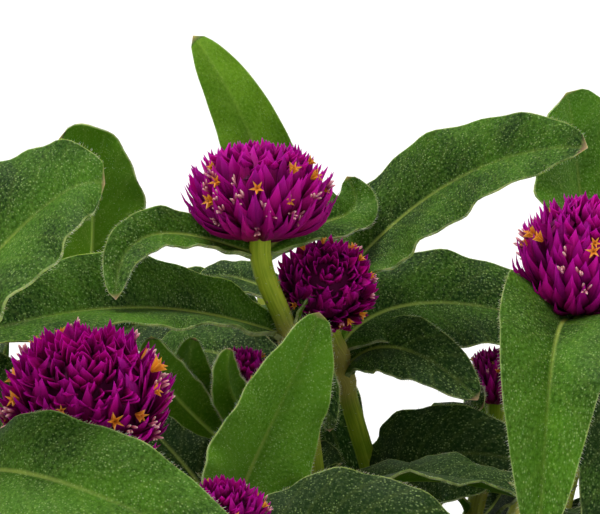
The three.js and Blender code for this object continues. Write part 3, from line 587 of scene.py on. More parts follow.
# %% The leaf material
def leaf_material(name, deep, light, frost, rib, margin, frosting):
    material, tree, shader = start_material(
        name, Roughness=0.6, IOR=1.42, Subsurface_Weight=0.45, Subsurface_Scale=0.001,
        Subsurface_Radius=(0.6, 1.0, 0.05), Specular_IOR_Level=0.15)
    spot = add_node(tree, "ShaderNodeTexCoord").outputs["Object"]
    blade = add_node(tree, "ShaderNodeAttribute", attribute_name="blade").outputs["Vector"]
    share = add_node(tree, "ShaderNodeAttribute", attribute_name="share").outputs["Vector"]
    place = add_node(tree, "ShaderNodeSeparateXYZ", {0: blade})
    part = add_node(tree, "ShaderNodeSeparateXYZ", {0: share})
    aside = add_node(tree, "ShaderNodeMath", {0: place.outputs["X"]}, operation="ABSOLUTE")

    # Mottling of about 9 mm, and each leaf a little lighter or darker than the next: partly at
    # random, and partly painted light and painted shade that each leaf's tint carries.
    mottle = add_node(tree, "ShaderNodeTexNoise", {"Vector": spot, "Scale": 90, "Detail": 2})
    cells = add_node(tree, "ShaderNodeTexNoise", {"Vector": blade, "Scale": 1.9, "Detail": 4,
                                                  "Roughness": 0.65})
    grained = add_node(tree, "ShaderNodeMath", {0: mottle.outputs["Fac"],
                                                1: cells.outputs["Fac"]}, operation="ADD")
    tone = add_node(tree, "ShaderNodeMath", {0: grained.outputs[0], 1: part.outputs["Z"]},
                    operation="ADD")
    green = add_node(tree, "ShaderNodeMapRange", {0: tone.outputs[0], 1: 0.8, 2: 1.5})
    base = add_node(tree, "ShaderNodeMix", {0: green.outputs[0], 6: colour(deep),
                                            7: colour(light)}, data_type="RGBA")

    # Side veins every 5 mm, swept forward by 45 degrees.
    swept = add_node(tree, "ShaderNodeMath", {0: place.outputs["Y"], 1: aside.outputs[0]},
                     operation="SUBTRACT")
    turns = add_node(tree, "ShaderNodeMath", {0: swept.outputs[0], 1: 2 * math.pi / 5},
                     operation="MULTIPLY")
    waved = add_node(tree, "ShaderNodeMath", {0: turns.outputs[0]}, operation="SINE")
    vein = add_node(tree, "ShaderNodeMapRange", {0: waved.outputs[0], 1: 0.7, 2: 1.0, 4: 0.04})
    veined = add_node(tree, "ShaderNodeMix", {0: vein.outputs[0], 6: base.outputs[2],
                                              7: colour(rib)}, data_type="RGBA")

    # Frosting of hairs: dots over a soft bloom, thicker in some places than in others.
    dots = add_node(tree, "ShaderNodeTexVoronoi", {"Vector": blade, "Scale": 1 / 0.4})
    bright = add_node(tree, "ShaderNodeSeparateXYZ", {0: dots.outputs["Color"]})
    strength = add_node(tree, "ShaderNodeMapRange", {0: bright.outputs["X"], 1: 0.2, 2: 1.0,
                                                     3: 0.2 * frosting, 4: 1.15 * frosting})
    dot = add_node(tree, "ShaderNodeMapRange", {0: dots.outputs["Distance"], 1: 0.42, 2: 0.12,
                                                4: strength.outputs[0]})
    patch = add_node(tree, "ShaderNodeTexNoise", {"Vector": blade, "Scale": 0.3, "Detail": 4})
    strong = add_node(tree, "ShaderNodeMapRange", {0: patch.outputs["Fac"], 1: 0.3, 2: 0.7,
                                                   3: 0.35, 4: 1.0})
    hairy = add_node(tree, "ShaderNodeMath", {0: dot.outputs[0], 1: strong.outputs[0]},
                     operation="MULTIPLY")
    bloom = add_node(tree, "ShaderNodeMapRange", {0: cells.outputs["Fac"], 1: 0.45, 2: 0.8,
                                                  4: 0.2 * frosting})
    whole = add_node(tree, "ShaderNodeMath", {0: hairy.outputs[0], 1: bloom.outputs[0]},
                     operation="ADD")
    frosted = add_node(tree, "ShaderNodeMix", {0: whole.outputs[0], 6: veined.outputs[2],
                                               7: colour(frost)}, data_type="RGBA")

    # The midrib is a pale line half a millimetre wide, strongest at the base, where it is partly a
    # painted highlight, and fading towards the tip; the margin is pale.
    line = add_node(tree, "ShaderNodeMapRange", {0: aside.outputs[0], 1: 0.5, 2: 0.1})
    fade = add_node(tree, "ShaderNodeMapRange", {0: part.outputs["Y"], 1: 0.7, 2: 0.15, 3: 0.1,
                                                 4: 0.8})
    ribbed = add_node(tree, "ShaderNodeMath", {0: line.outputs[0], 1: fade.outputs[0]},
                      operation="MULTIPLY")
    with_rib = add_node(tree, "ShaderNodeMix", {0: ribbed.outputs[0], 6: frosted.outputs[2],
                                                7: colour(rib)}, data_type="RGBA")
    ragged = add_node(tree, "ShaderNodeMapRange", {0: patch.outputs["Fac"], 1: 0.35, 2: 0.65,
                                                   3: 0.15, 4: 0.75})
    rim = add_node(tree, "ShaderNodeMapRange", {0: part.outputs["X"], 1: 0.25, 2: 0.0,
                                                4: ragged.outputs[0]})
    rimmed = add_node(tree, "ShaderNodeMix", {0: rim.outputs[0], 6: with_rib.outputs[2],
                                              7: colour(margin)}, data_type="RGBA")
    blush = add_node(tree, "ShaderNodeMix", {0: place.outputs["Z"], 6: rimmed.outputs[2],
                                             7: colour("#b9837a")}, data_type="RGBA")
    tree.links.new(blush.outputs[2], shader.inputs["Base Color"])

    # Relief: a fine grain of cells with the hairs' bases standing on it.
    grain = add_node(tree, "ShaderNodeTexNoise", {"Vector": blade, "Scale": 2.2, "Detail": 3})
    height = add_node(tree, "ShaderNodeMath", {0: dot.outputs[0], 1: grain.outputs["Fac"]},
                      operation="ADD")
    bump = add_node(tree, "ShaderNodeBump", {"Height": height.outputs[0], "Strength": 0.5,
                                             "Distance": 0.00012})
    tree.links.new(bump.outputs[0], shader.inputs["Normal"])
    return material


leaf_above = leaf_material("hairy_leaf_above", "#143003", "#4f7f10", "#a0b972", "#a4b652",
                           "#b4bf80", 0.75)
leaf_below = leaf_material("hairy_leaf_below", "#436c02", "#729a1e", "#93ab58", "#a9bf5c",
                           "#b9c680", 0.45)
print("leaf materials:", leaf_above.name, leaf_below.name)

# %% [markdown]
# ## Stems and hairs
# The stems are pale yellow-green, ribbed lengthwise, and flushed pink where the leaves join. The
# hairs are colourless and full of air, so they look white and slightly see-through: a pale, rough
# surface with some light let through does that at this size.

# %% The stem and hair materials
def stem_material():
    material, tree, shader = start_material(
        "ribbed_green_stem", Roughness=0.55, IOR=1.42, Subsurface_Weight=0.15,
        Subsurface_Scale=0.002, Subsurface_Radius=(0.7, 1.0, 0.1), Specular_IOR_Level=0.2)
    spot = add_node(tree, "ShaderNodeTexCoord").outputs["Object"]
    blade = add_node(tree, "ShaderNodeAttribute", attribute_name="blade").outputs["Vector"]
    share = add_node(tree, "ShaderNodeAttribute", attribute_name="share").outputs["Vector"]
    place = add_node(tree, "ShaderNodeSeparateXYZ", {0: blade})
    part = add_node(tree, "ShaderNodeSeparateXYZ", {0: share})
    mottle = add_node(tree, "ShaderNodeTexNoise", {"Vector": spot, "Scale": 160, "Detail": 3})
    streak = add_node(tree, "ShaderNodeMapping", {"Vector": blade, "Scale": (2.4, 0.12, 0)})
    streaks = add_node(tree, "ShaderNodeTexNoise", {"Vector": streak.outputs[0], "Scale": 1,
                                                    "Detail": 2})
    tone = add_node(tree, "ShaderNodeMath", {0: mottle.outputs["Fac"], 1: streaks.outputs["Fac"]},
                    operation="ADD")
    pale = add_node(tree, "ShaderNodeMapRange", {0: tone.outputs[0], 1: 0.75, 2: 1.3})
    young = add_node(tree, "ShaderNodeMix", {0: pale.outputs[0], 6: colour("#6c8f0c"),
                                             7: colour("#a6b830")}, data_type="RGBA")
    old = add_node(tree, "ShaderNodeMix", {0: pale.outputs[0], 6: colour("#5d6b26"),
                                           7: colour("#8a8a4a")}, data_type="RGBA")
    age = add_node(tree, "ShaderNodeMapRange", {0: part.outputs["Y"], 1: 0.1, 2: 0.55})
    green = add_node(tree, "ShaderNodeMix", {0: age.outputs[0], 6: old.outputs[2],
                                             7: young.outputs[2]}, data_type="RGBA")
    flush = add_node(tree, "ShaderNodeMath", {0: place.outputs["Z"], 1: 0.4},
                     operation="MULTIPLY")
    joint = add_node(tree, "ShaderNodeMix", {0: flush.outputs[0], 6: green.outputs[2],
                                             7: colour("#b5806a")}, data_type="RGBA")
    tree.links.new(joint.outputs[2], shader.inputs["Base Color"])
    bump = add_node(tree, "ShaderNodeBump", {"Height": streaks.outputs["Fac"], "Strength": 0.6,
                                             "Distance": 0.0003})
    tree.links.new(bump.outputs[0], shader.inputs["Normal"])
    return material


def hair_material():
    material, tree, shader = start_material(
        "white_plant_hair", Roughness=0.55, IOR=1.4, Subsurface_Weight=0.3,
        Subsurface_Scale=0.0003)
    spot = add_node(tree, "ShaderNodeTexCoord").outputs["Object"]
    patch = add_node(tree, "ShaderNodeTexNoise", {"Vector": spot, "Scale": 400, "Detail": 1})
    tint = set_ramp(add_node(tree, "ShaderNodeValToRGB", {0: patch.outputs["Fac"]}),
                    (0.35, "#a9b48a"), (0.65, "#d9d8c4"))
    tree.links.new(tint.outputs[0], shader.inputs["Base Color"])
    return material


green_stem = stem_material()
white_hair = hair_material()
STEM_FINISHES = [leaf_above, leaf_below, green_stem, white_hair]
ABOVE, BELOW, STEM, FUZZ = range(4)
print("stem materials:", green_stem.name, white_hair.name)

# %% [markdown]
# ## Leafy stems
# Each leafy stem is one piece: the rod, its leaves, small young leaves in the joints, and hairs.
# The leaf keeps the solid's outline, fold and wave, and gains a groove along the midrib above, a
# rib below, and a slight swelling of the blade between its side veins. The hairs stand densest on
# the margins and round the joints, as on the real plant. A listed leaf has the finest grid, and a
# young leaf of a few millimetres a coarse one, which keeps the plant under a million triangles.

# %% Functions for leafy stems
def leaf_youth_and_painted_light(leaf):
    """How light a leaf is: young ones high on the plant are lighter, low ones get painted shade,
    and some listed ones painted light and painted shade of their own.
    """
    low = bent(leaf["line"], [0.5])[0, 0, 2]
    return float(np.clip((low - YOUTH_AND_SHADE_HEIGHT) / 70, -0.35, 0.1)) + leaf.get("tone", 0.0)


def leaf_shape_points(leaf, shape):
    """Points of leaves with their thickness, with the two vectors for the materials."""
    x, y, side = shape["co"].T
    u, t = np.sign(x) * np.abs(x) ** 1.5, (y + 1) / 2
    middle, across, up, _ = blade_frames(leaf, t)
    half, fold, wide = leaf_half(leaf, t), leaf["fold"], leaf["width"]
    length = np.linalg.norm(leaf["line"][:, 3] - leaf["line"][:, 0], axis=1)[:, None] * 1.08
    aside, along = u * half, t * length
    soft = (np.sqrt(u * u + 0.02) - 0.141) / 0.869
    ripple = 0.018 * wide * np.sin(2 * np.pi * 8 * t + 2 * leaf["phase"]) * u ** 4
    quilt = 0.12 * np.sin(2 * np.pi * (along - np.abs(aside)) / 5) * np.abs(u) * (1 - u * u)
    domed = 0.045 * wide * np.sin(np.pi * np.abs(u)) * np.sin(np.pi * t)
    rib = np.exp(-(aside / 0.75) ** 2)
    top = 0.17 + 0.4 * (1 - t) ** 3 - 0.1 * rib
    bottom = 0.17 + 0.4 * (1 - t) ** 3 + 0.38 * rib * (1 - 0.7 * t)
    thick = np.where(side > 0.5, top, np.where(side < -0.5, -bottom, 0))
    rise = soft * half * np.sin(fold) + leaf_wave(leaf, t, u) + ripple + quilt + domed + thick
    places = middle + across * (u * half * np.cos(fold))[..., None] + up * rise[..., None]
    blush = 0.7 * np.clip((t - 0.985) / 0.015, 0, 1) + 0.25 * np.clip(1 - t / 0.06, 0, 1)
    # The tint is a little random, plus painted light and painted shade from the leaf's height and
    # row.
    tint = rng.uniform(-0.1, 0.1) + leaf_youth_and_painted_light(leaf) + 0 * aside
    return places, (np.stack([aside, along, blush + 0 * aside], -1),
                    np.stack([half - np.abs(aside), t + 0 * aside, tint], -1))


def place_rods(shape, roots, ways, radii, lengths, spin=0.0):
    """Copies of an upright shape, each moved to a root, spun and turned along a direction."""
    ways = unit(ways)
    helper = np.where(np.abs(ways[:, 2:]) < 0.9, [[0, 0, 1.0]], [[1.0, 0, 0]])
    level = unit(np.cross(helper, ways))
    spin = np.zeros((len(ways), 1)) + spin
    side = level * np.cos(spin) + np.cross(ways, level) * np.sin(spin)
    other = np.cross(ways, side)
    x, y, z = (shape["co"][None, :, k, None] for k in range(3))
    radii, lengths = radii[:, None, None], lengths[:, None, None]
    return (roots[:, None] + side[:, None] * x * radii + other[:, None] * y * radii
            + ways[:, None] * z * lengths)


def add_leaf_hairs(growth, leaf, count, dense):
    """Hairs along both margins of a leaf, and scattered on its upper face."""
    t = np.tile(np.linspace(0.06, 0.985, count), 2) + rng.uniform(-0.003, 0.003, 2 * count)
    u = np.repeat([-1.0, 1.0], count)
    roots = leaf_points(leaf, t, u)[0]
    _, across, up, along = (part[0] for part in blade_frames(leaf, t))
    ways = (across * (u * rng.uniform(0.5, 1.1, len(u)))[:, None] + along * 0.55
            + up * rng.normal(0, 0.35, len(u))[:, None])
    growth.add(HAIR, place_rods(HAIR, roots, ways, rng.uniform(0.022, 0.04, len(u)),
                                rng.uniform(0.35, 0.75, len(u))), FUZZ)
    t, u = rng.uniform(0.04, 0.97, dense), rng.uniform(-0.95, 0.95, dense)
    _, across, up, along = (part[0] for part in blade_frames(leaf, t))
    roots = leaf_points(leaf, t, u)[0] + up * 0.1
    ways = up * 0.7 + along * 0.8 + across * rng.normal(0, 0.3, dense)[:, None]
    growth.add(HAIR, place_rods(HAIR, roots, ways, rng.uniform(0.014, 0.022, dense),
                                rng.uniform(0.14, 0.3, dense)), FUZZ)


def stem_stations(plant):
    """Evenly spaced points up a whole stem, with the radius and the blush at each."""
    lines, steps = plant["lines"], np.linspace(0, 1, 80)
    path = np.vstack([lines["foot"], bent(lines["shoot"], steps)[0],
                      bent(lines["stalk"], steps[1:])[0],
                      lines["stalk"][0, 3] + HEAD_ENTRY * lines["axis"]])
    run = np.concatenate([[0], np.cumsum(np.linalg.norm(np.diff(path, axis=0), axis=1))])
    reach = np.linspace(0, run[-1], STEM_RINGS + 2)
    points = np.stack([np.interp(reach, run, path[:, k]) for k in range(3)], 1)
    fork = run[80]
    radius = np.interp(reach, [0, fork, run[-1]], [2.3, 1.7, 1.95])
    joints = [np.interp(joint, steps, run[1:81]) for joint in plant["joints"]] + [fork]
    near = sum(np.exp(-((reach - joint) / 1.9) ** 2) for joint in joints)
    blush = sum(np.exp(-((reach - joint) / 4.5) ** 2) for joint in joints)
    return reach, points, radius * (1 + 0.36 * near), np.clip(blush, 0, 1)


def stem_frames(points):
    """Directions along, across and beside a stem that turn as little as they can."""
    along = unit(np.gradient(points, axis=0))
    across = np.zeros_like(along)
    side = np.array([1.0, 0, 0])
    for k, way in enumerate(along):
        side = unit(side - way * side.dot(way))
        across[k] = side
    return along, across, np.cross(along, across)


def add_stem(growth, plant):
    reach, points, radius, blush = stem_stations(plant)
    along, across, beside = stem_frames(points)
    x, y, z = ROD["co"].T
    ring = np.rint(z * (STEM_RINGS + 1)).astype(int)
    turn = np.arctan2(y, x)
    size = radius[ring] * (1 + 0.045 * np.cos(5 * turn)) * np.hypot(x, y)
    places = (points[ring] + across[ring] * (size * np.cos(turn))[:, None]
              + beside[ring] * (size * np.sin(turn))[:, None])
    blade = np.stack([turn * radius[ring], reach[ring], blush[ring]], 1)
    share = np.stack([turn / np.pi, reach[ring] / reach[-1], 0 * turn], 1)
    growth.add(ROD, places[None], STEM, blade, share)
    count = int(reach[-1] * 5)
    ring = rng.choice(np.arange(12, STEM_RINGS), count, p=unit_sum(0.35 + blush[12:STEM_RINGS]))
    turn = rng.uniform(-np.pi, np.pi, count)
    out = across[ring] * np.cos(turn)[:, None] + beside[ring] * np.sin(turn)[:, None]
    roots = points[ring] + out * (radius[ring] * 0.97)[:, None]
    roots += along[ring] * rng.uniform(-0.7, 0.7, count)[:, None]
    ways = out + along[ring] * rng.uniform(0.1, 0.9, count)[:, None]
    growth.add(HAIR, place_rods(HAIR, roots, ways, rng.uniform(0.03, 0.05, count),
                                rng.uniform(0.5, 0.9, count) * (1 + 0.6 * blush[ring])), FUZZ)


def unit_sum(weights):
    return weights / weights.sum()


def young_leaves(plant):
    """Two small upright leaves in each joint, the start of side shoots."""
    for order, joint in enumerate([*plant["joints"], "fork"]):
        line, share = joint_share(plant["lines"], joint)
        place, axis = bent(line, [share])[0, 0], heading(line, [share])[0, 0]
        first = math.radians(plant["turn"] + 90 * order)
        for azimuth in (first, first + math.pi):
            length, lean = rng.uniform(6, 10), rng.uniform(0.95, 1.2)
            midrib = rule_line(place, axis, azimuth, length, lean, 1.0)
            yield blade_of(midrib, length * 0.34, 0.5, 0.0, 0.45, rng.uniform(0, 6))


# %% Grow the leafy stems
# Hairs on a leaf: how many along each margin, and how many on its upper face.
SET_HAIRS, RULE_HAIRS, YOUNG_HAIRS = (150, 700), (80, 200), (16, 20)

total = 0
for number, plant in enumerate(plants, 1):
    growth = Growth()
    add_stem(growth, plant)
    for leaf in plant["leaves"]:
        shape = FINE_LEAF if leaf["set"] else PLAIN_LEAF
        finish = np.where(shape["down"], BELOW, ABOVE)
        places, vectors = leaf_shape_points(leaf, shape)
        growth.add(shape, places, finish, *vectors)
        add_leaf_hairs(growth, leaf, *(SET_HAIRS if leaf["set"] else RULE_HAIRS))
    for leaf in young_leaves(plant):
        places, vectors = leaf_shape_points(leaf, SMALL_LEAF)
        growth.add(SMALL_LEAF, places, np.where(SMALL_LEAF["down"], BELOW, ABOVE), *vectors)
        add_leaf_hairs(growth, leaf, *YOUNG_HAIRS)
    name = f"leafy_stem_{number:02d}"
    mesh = growth.mesh(name + "_grown", STEM_FINISHES)
    new_piece(name + "_grown", mesh, name)
    total += triangles(mesh)
print("leafy stems:", total, "triangles")

# %% [markdown]
# ## A flower head
# The globe is not one flower: it is a spike of tiny flowers, each held by two papery, keeled
# bracts that carry the colour. The bracts sit in a spiral, each a golden angle on from the last,
# the way a sunflower packs its seeds. Low on the head they spread and curve up like a cup, and at
# the crown they stand close and upright. Between them open small orange stars, the true flowers,
# and lower down the old ones have faded to pinkish tufts.

# %% Model a floret
def model_star(bm):
    """A small funnel with five pointed lobes, opening upward."""
    bmesh.ops.create_cone(bm, cap_ends=True, segments=10, radius1=0.2, radius2=1, depth=0.9)
    mouth = max(bm.faces, key=lambda face: face.calc_center_median().z)
    rim = sorted(mouth.verts, key=lambda v: math.atan2(v.co.y, v.co.x))
    for v in rim[::2]:
        v.co = (v.co.x * 0.3, v.co.y * 0.3, 0.25)
    throat = bmesh.ops.poke(bm, faces=[mouth])["verts"]
    bmesh.ops.translate(bm, verts=throat, vec=(0, 0, -0.3))
    bmesh.ops.translate(bm, verts=bm.verts[:], vec=(0, 0, 0.45))


def model_finger(bm):
    """One lobe of a faded floret: a narrow spindle with a blunt tip, one unit long."""
    bmesh.ops.create_uvsphere(bm, u_segments=6, v_segments=5, radius=1)
    for v in bm.verts:
        v.co = (v.co.x, v.co.y, 0.5 + 0.5 * v.co.z)


def model_core(bm):
    bmesh.ops.create_uvsphere(bm, u_segments=18, v_segments=12, radius=1)


STAR, FINGER, CORE = shape_of(model_star), shape_of(model_finger), shape_of(model_core)
print("floret faces:", len(STAR["sizes"]), "lobe faces:", len(FINGER["sizes"]))

# %% [markdown]
# ## Bracts, stars and tufts as materials
# The bracts are dry and papery, magenta-purple, with faint lengthwise streaks. Each is nearly black
# at its base, painted shade where the bracts overlap, and lighter at its tip. The ones low on the
# head are painted darker and redder, painted shade on the underside of the head, and the young ones
# at the crown are lighter on average, a painted highlight on its top. The stars are waxy
# orange-yellow, painted darker in the throat and at the foot as shade in the hollow, and the faded
# lobes go from plum to pale pink.

# %% The materials of a flower head
def bract_material():
    material, tree, shader = start_material(
        "papery_magenta_bract", Roughness=0.55, IOR=1.45, Subsurface_Weight=0.2,
        Subsurface_Scale=0.001, Subsurface_Radius=(1.0, 0.02, 0.6), Specular_IOR_Level=0.12)
    share = add_node(tree, "ShaderNodeAttribute", attribute_name="share").outputs["Vector"]
    part = add_node(tree, "ShaderNodeSeparateXYZ", {0: share})
    # Along each bract: nearly black at the base, painted shade where the bracts overlap, to light
    # magenta at the tip.
    along = set_ramp(add_node(tree, "ShaderNodeValToRGB", {0: part.outputs["Y"]}),
                     (0.0, "#1c0008"), (0.3, "#640138"), (0.65, "#a60480"), (1.0, "#cc10ae"))
    blade = add_node(tree, "ShaderNodeAttribute", attribute_name="blade").outputs["Vector"]
    stretch = add_node(tree, "ShaderNodeMapping", {"Vector": blade, "Scale": (3.2, 0.25, 1)})
    streaks = add_node(tree, "ShaderNodeTexNoise", {"Vector": stretch.outputs[0], "Scale": 1,
                                                    "Detail": 2})
    streak = add_node(tree, "ShaderNodeMapRange", {0: streaks.outputs["Fac"], 1: 0.35, 2: 0.7,
                                                   4: 0.3})
    lit = add_node(tree, "ShaderNodeMix", {0: streak.outputs[0], 6: along.outputs[0],
                                           7: colour("#b80a98")}, data_type="RGBA")
    # The bracts low on the head are painted darker and redder: painted shade on the underside of
    # the head.
    place = add_node(tree, "ShaderNodeSeparateXYZ", {0: blade})
    low_shade = add_node(tree, "ShaderNodeMapRange", {0: place.outputs["Z"], 1: 0.35, 2: -0.5, 4: 0.7})
    shaded_low_bracts = add_node(tree, "ShaderNodeMix", {0: low_shade.outputs[0], 6: lit.outputs[2],
                                            7: colour("#6e0236")}, data_type="RGBA")
    # Each bract is lighter or darker at random, and the young ones at the crown are lighter on
    # average: a painted highlight on the top of the head.
    value = add_node(tree, "ShaderNodeMapRange", {0: part.outputs["Z"], 1: -1, 2: 1, 3: 0.7,
                                                  4: 1.25})
    hue = add_node(tree, "ShaderNodeMapRange", {0: part.outputs["Z"], 1: -1, 2: 1, 3: 0.485,
                                                4: 0.515})
    tinted = add_node(tree, "ShaderNodeHueSaturation", {"Hue": hue.outputs[0],
                                                        "Value": value.outputs[0],
                                                        "Color": shaded_low_bracts.outputs[2]})
    tree.links.new(tinted.outputs[0], shader.inputs["Base Color"])
    bump = add_node(tree, "ShaderNodeBump", {"Height": streaks.outputs["Fac"], "Strength": 0.5,
                                             "Distance": 0.0002})
    tree.links.new(bump.outputs[0], shader.inputs["Normal"])
    return material


def floret_material():
    material, tree, shader = start_material(
        "waxy_orange_floret", Roughness=0.4, IOR=1.45, Subsurface_Weight=0.2,
        Subsurface_Scale=0.0008, Subsurface_Radius=(1.0, 0.5, 0.1))
    share = add_node(tree, "ShaderNodeAttribute", attribute_name="share").outputs["Vector"]
    part = add_node(tree, "ShaderNodeSeparateXYZ", {0: share})
    # Darker towards the throat and the foot of each star: painted shade in the hollow of the
    # floret.
    out = set_ramp(add_node(tree, "ShaderNodeValToRGB", {0: part.outputs["Y"]}),
                   (0.0, "#8a3d06"), (0.35, "#e0861a"), (1.0, "#f9b13c"))
    tree.links.new(out.outputs[0], shader.inputs["Base Color"])
    return material


def tuft_material():
    material, tree, shader = start_material(
        "faded_pink_floret", Roughness=0.5, IOR=1.45, Subsurface_Weight=0.2,
        Subsurface_Scale=0.0008)
    share = add_node(tree, "ShaderNodeAttribute", attribute_name="share").outputs["Vector"]
    part = add_node(tree, "ShaderNodeSeparateXYZ", {0: share})
    along = set_ramp(add_node(tree, "ShaderNodeValToRGB", {0: part.outputs["Y"]}),
                     (0.0, "#7c1250"), (0.4, "#a8446c"), (0.8, "#d98f9c"), (1.0, "#efc6bb"))
    tree.links.new(along.outputs[0], shader.inputs["Base Color"])
    return material


BLOOM_FINISHES = [bract_material(), floret_material(), tuft_material()]
PAPER, WAX, FADED = range(3)
print("bloom materials:", [m.name for m in BLOOM_FINISHES])

# %% [markdown]
# ## Building the heads
# Every bract runs up the side of an egg shape, along the meridian that its place in the spiral
# gives it. The first three tenths of the spiral are the crown, where young bracts are short,
# narrow and nearly upright. Below it long bracts start low and curve up round the head like a cup,
# and a small core, painted nearly black as painted shade deep in the head, closes the middle. A
# smaller head gets fewer bracts, and the first head, which the camera sees best, has the florets
# on its front listed one by one.

# %% Functions for flower heads
GOLDEN_ANGLE = math.pi * (3 - math.sqrt(5))
LOWEST_TIP = math.radians(112)
CROWN_SHARE = 0.3
FULL_COUNT, FULL_RADIUS, FULL_AREA = 280, 12.5, 12.5 * 17.5
FULL_STARS, FULL_TUFTS, TUFT_LOBES = 16, 22, 5
CORE_SHARE, CORE_DROP = [0.68, 0.68, 0.7], 0.02

# Florets listed one by one on the front of the first head: degrees down from the crown, and
# azimuth.
FRONT_STARS = [(74, -130), (81, -90), (61, -55), (97, -66), (70, -30), (55, -148)]
FRONT_TUFTS = [(84, -140), (91, -103), (98, -110), (107, -123), (107, -85), (116, -82), (94, -38),
               (114, -60), (123, -47), (138, -93), (128, -140)]


def on_egg(plant, polar, azimuth, out):
    """Points at a polar angle from the crown and a share out from the head's middle."""
    level = plant["radius"] * np.sin(polar)
    return np.stack([level * np.cos(azimuth), level * np.sin(azimuth),
                     plant["height"] / 2 * np.cos(polar)], -1) * out[..., None]


def bract_blades(plant, count):
    """The bracts of a head in its own frame: their lines, sideways directions and widths."""
    order = np.arange(count) + 0.5
    young = order < CROWN_SHARE * count
    rank = np.where(young, order / CROWN_SHARE, (order - CROWN_SHARE * count) / (1 - CROWN_SHARE))
    top, bottom = np.where(young, 1, math.cos(0.35)), np.where(young, 0.64, math.cos(LOWEST_TIP))
    polar = np.arccos(top - (top - bottom) * (rank / count) ** np.where(young, 1.35, 1))
    polar = np.clip(polar + rng.normal(0, 0.06, count), 0.03, None)
    azimuth = order * GOLDEN_ANGLE + rng.normal(0, 0.13, count)
    crown = np.clip(1 - polar / 0.85, 0, 1)
    cup = np.clip((polar - 1.1) / 0.8, 0, 1)
    start = polar + np.radians(np.where(young, rng.uniform(5, 13, count),
                                        rng.uniform(40, 54, count) * (1 - 0.3 * crown + 0.5 * cup)))
    start = np.minimum(start, np.radians(177))
    low = np.clip((start - np.radians(80)) / np.radians(85), 0, 1)
    inner = np.where(young, 0.66, 0.64 + 0.3 * low * low * (3 - 2 * low) + 0.16 * crown)
    outer = rng.uniform(0.95, 1.05, count) + np.where(young, 0, rng.uniform(0, 0.04, count))
    ends = [on_egg(plant, start, azimuth, inner), on_egg(plant, polar, azimuth, outer)]
    nudge = 0.01
    first = (on_egg(plant, start + (polar - start) * nudge, azimuth, inner) - ends[0]) / nudge
    first = np.where(young[:, None], ends[1] - ends[0], first)
    level = np.stack([np.cos(azimuth), np.sin(azimuth), 0 * azimuth], -1)
    lean = 0.26 * np.sin(polar) - np.where(young, 0.5, 0.9) * crown + rng.normal(0, 0.14, count)
    last = unit(level * lean[:, None] + [0, 0, 1]) * np.linalg.norm(first, axis=1)[:, None]
    lines = np.stack([ends[0], ends[0] + first / 3, ends[1] - last / 3, ends[1]], 1)
    aside = np.stack([-np.sin(azimuth), np.cos(azimuth), 0 * azimuth], -1)[:, None]
    width = plant["radius"] * rng.uniform(0.22, 0.31, count) * np.where(young, 0.8, 1)
    return {"line": lines, "aside": aside, "width": width[:, None], "polar": polar[:, None],
            "fold": -np.radians(rng.uniform(20, 40, count))[:, None],
            "roll": rng.normal(0, 0.32, count)[:, None],
            # Young bracts at the crown are lighter on average: a painted highlight on the top of
            # the head.
            "tint": np.where(young, rng.uniform(-0.3, 1, count),
                             rng.uniform(-1, 1, count))[:, None]}


def to_world(plant, points):
    turn = Vector((0, 0, 1)).rotation_difference(Vector(plant["lines"]["axis"])).to_matrix()
    return points @ np.array(turn).T + plant["head"]


def add_bracts(growth, plant, count):
    bracts = bract_blades(plant, count)
    x, y, side = BRACT["co"].T
    t = (y + 1) / 2
    outline = np.interp(t, [0, 0.17, 0.34, 0.5, 0.67, 0.84, 1], [0.6, 0.9, 1, 0.88, 0.55, 0.22, 0])
    half = bracts["width"] / 2 * outline
    middle, across, up, _ = blade_frames(bracts, t)
    rise = np.abs(x) * half * np.sin(bracts["fold"]) + 0.13 * side * (1 - 0.6 * t)
    places = middle + across * (x * half * np.cos(bracts["fold"]))[..., None]
    places = to_world(plant, places + up * rise[..., None])
    tint = bracts["tint"] + 0 * half
    own = rng.uniform(0, 50, (count, 1)) + 0 * half
    blade = np.stack([x * half + own, t * 8 + 0 * half, np.cos(bracts["polar"]) + 0 * half], -1)
    growth.add(BRACT, places, PAPER, blade, np.stack([x + 0 * half, t + 0 * half, tint], -1))


def floret_places(set_places, count, lowest, highest):
    """Polar and azimuth of florets: the ones given, then the rest in a loose spiral."""
    polar = rng.uniform(lowest, highest, count)
    azimuth = np.degrees(np.arange(count) * GOLDEN_ANGLE) + rng.uniform(-18, 18, count)
    if set_places:
        polar[:len(set_places)], azimuth[:len(set_places)] = np.array(set_places, float).T
        # The others stay out of the right half of the front; a few stand on its left half.
        clear = (np.arange(count) < len(set_places)) | ((azimuth + 90) % 360 > 75)
        polar, azimuth = polar[clear], azimuth[clear]
    return np.radians(polar), np.radians(azimuth)


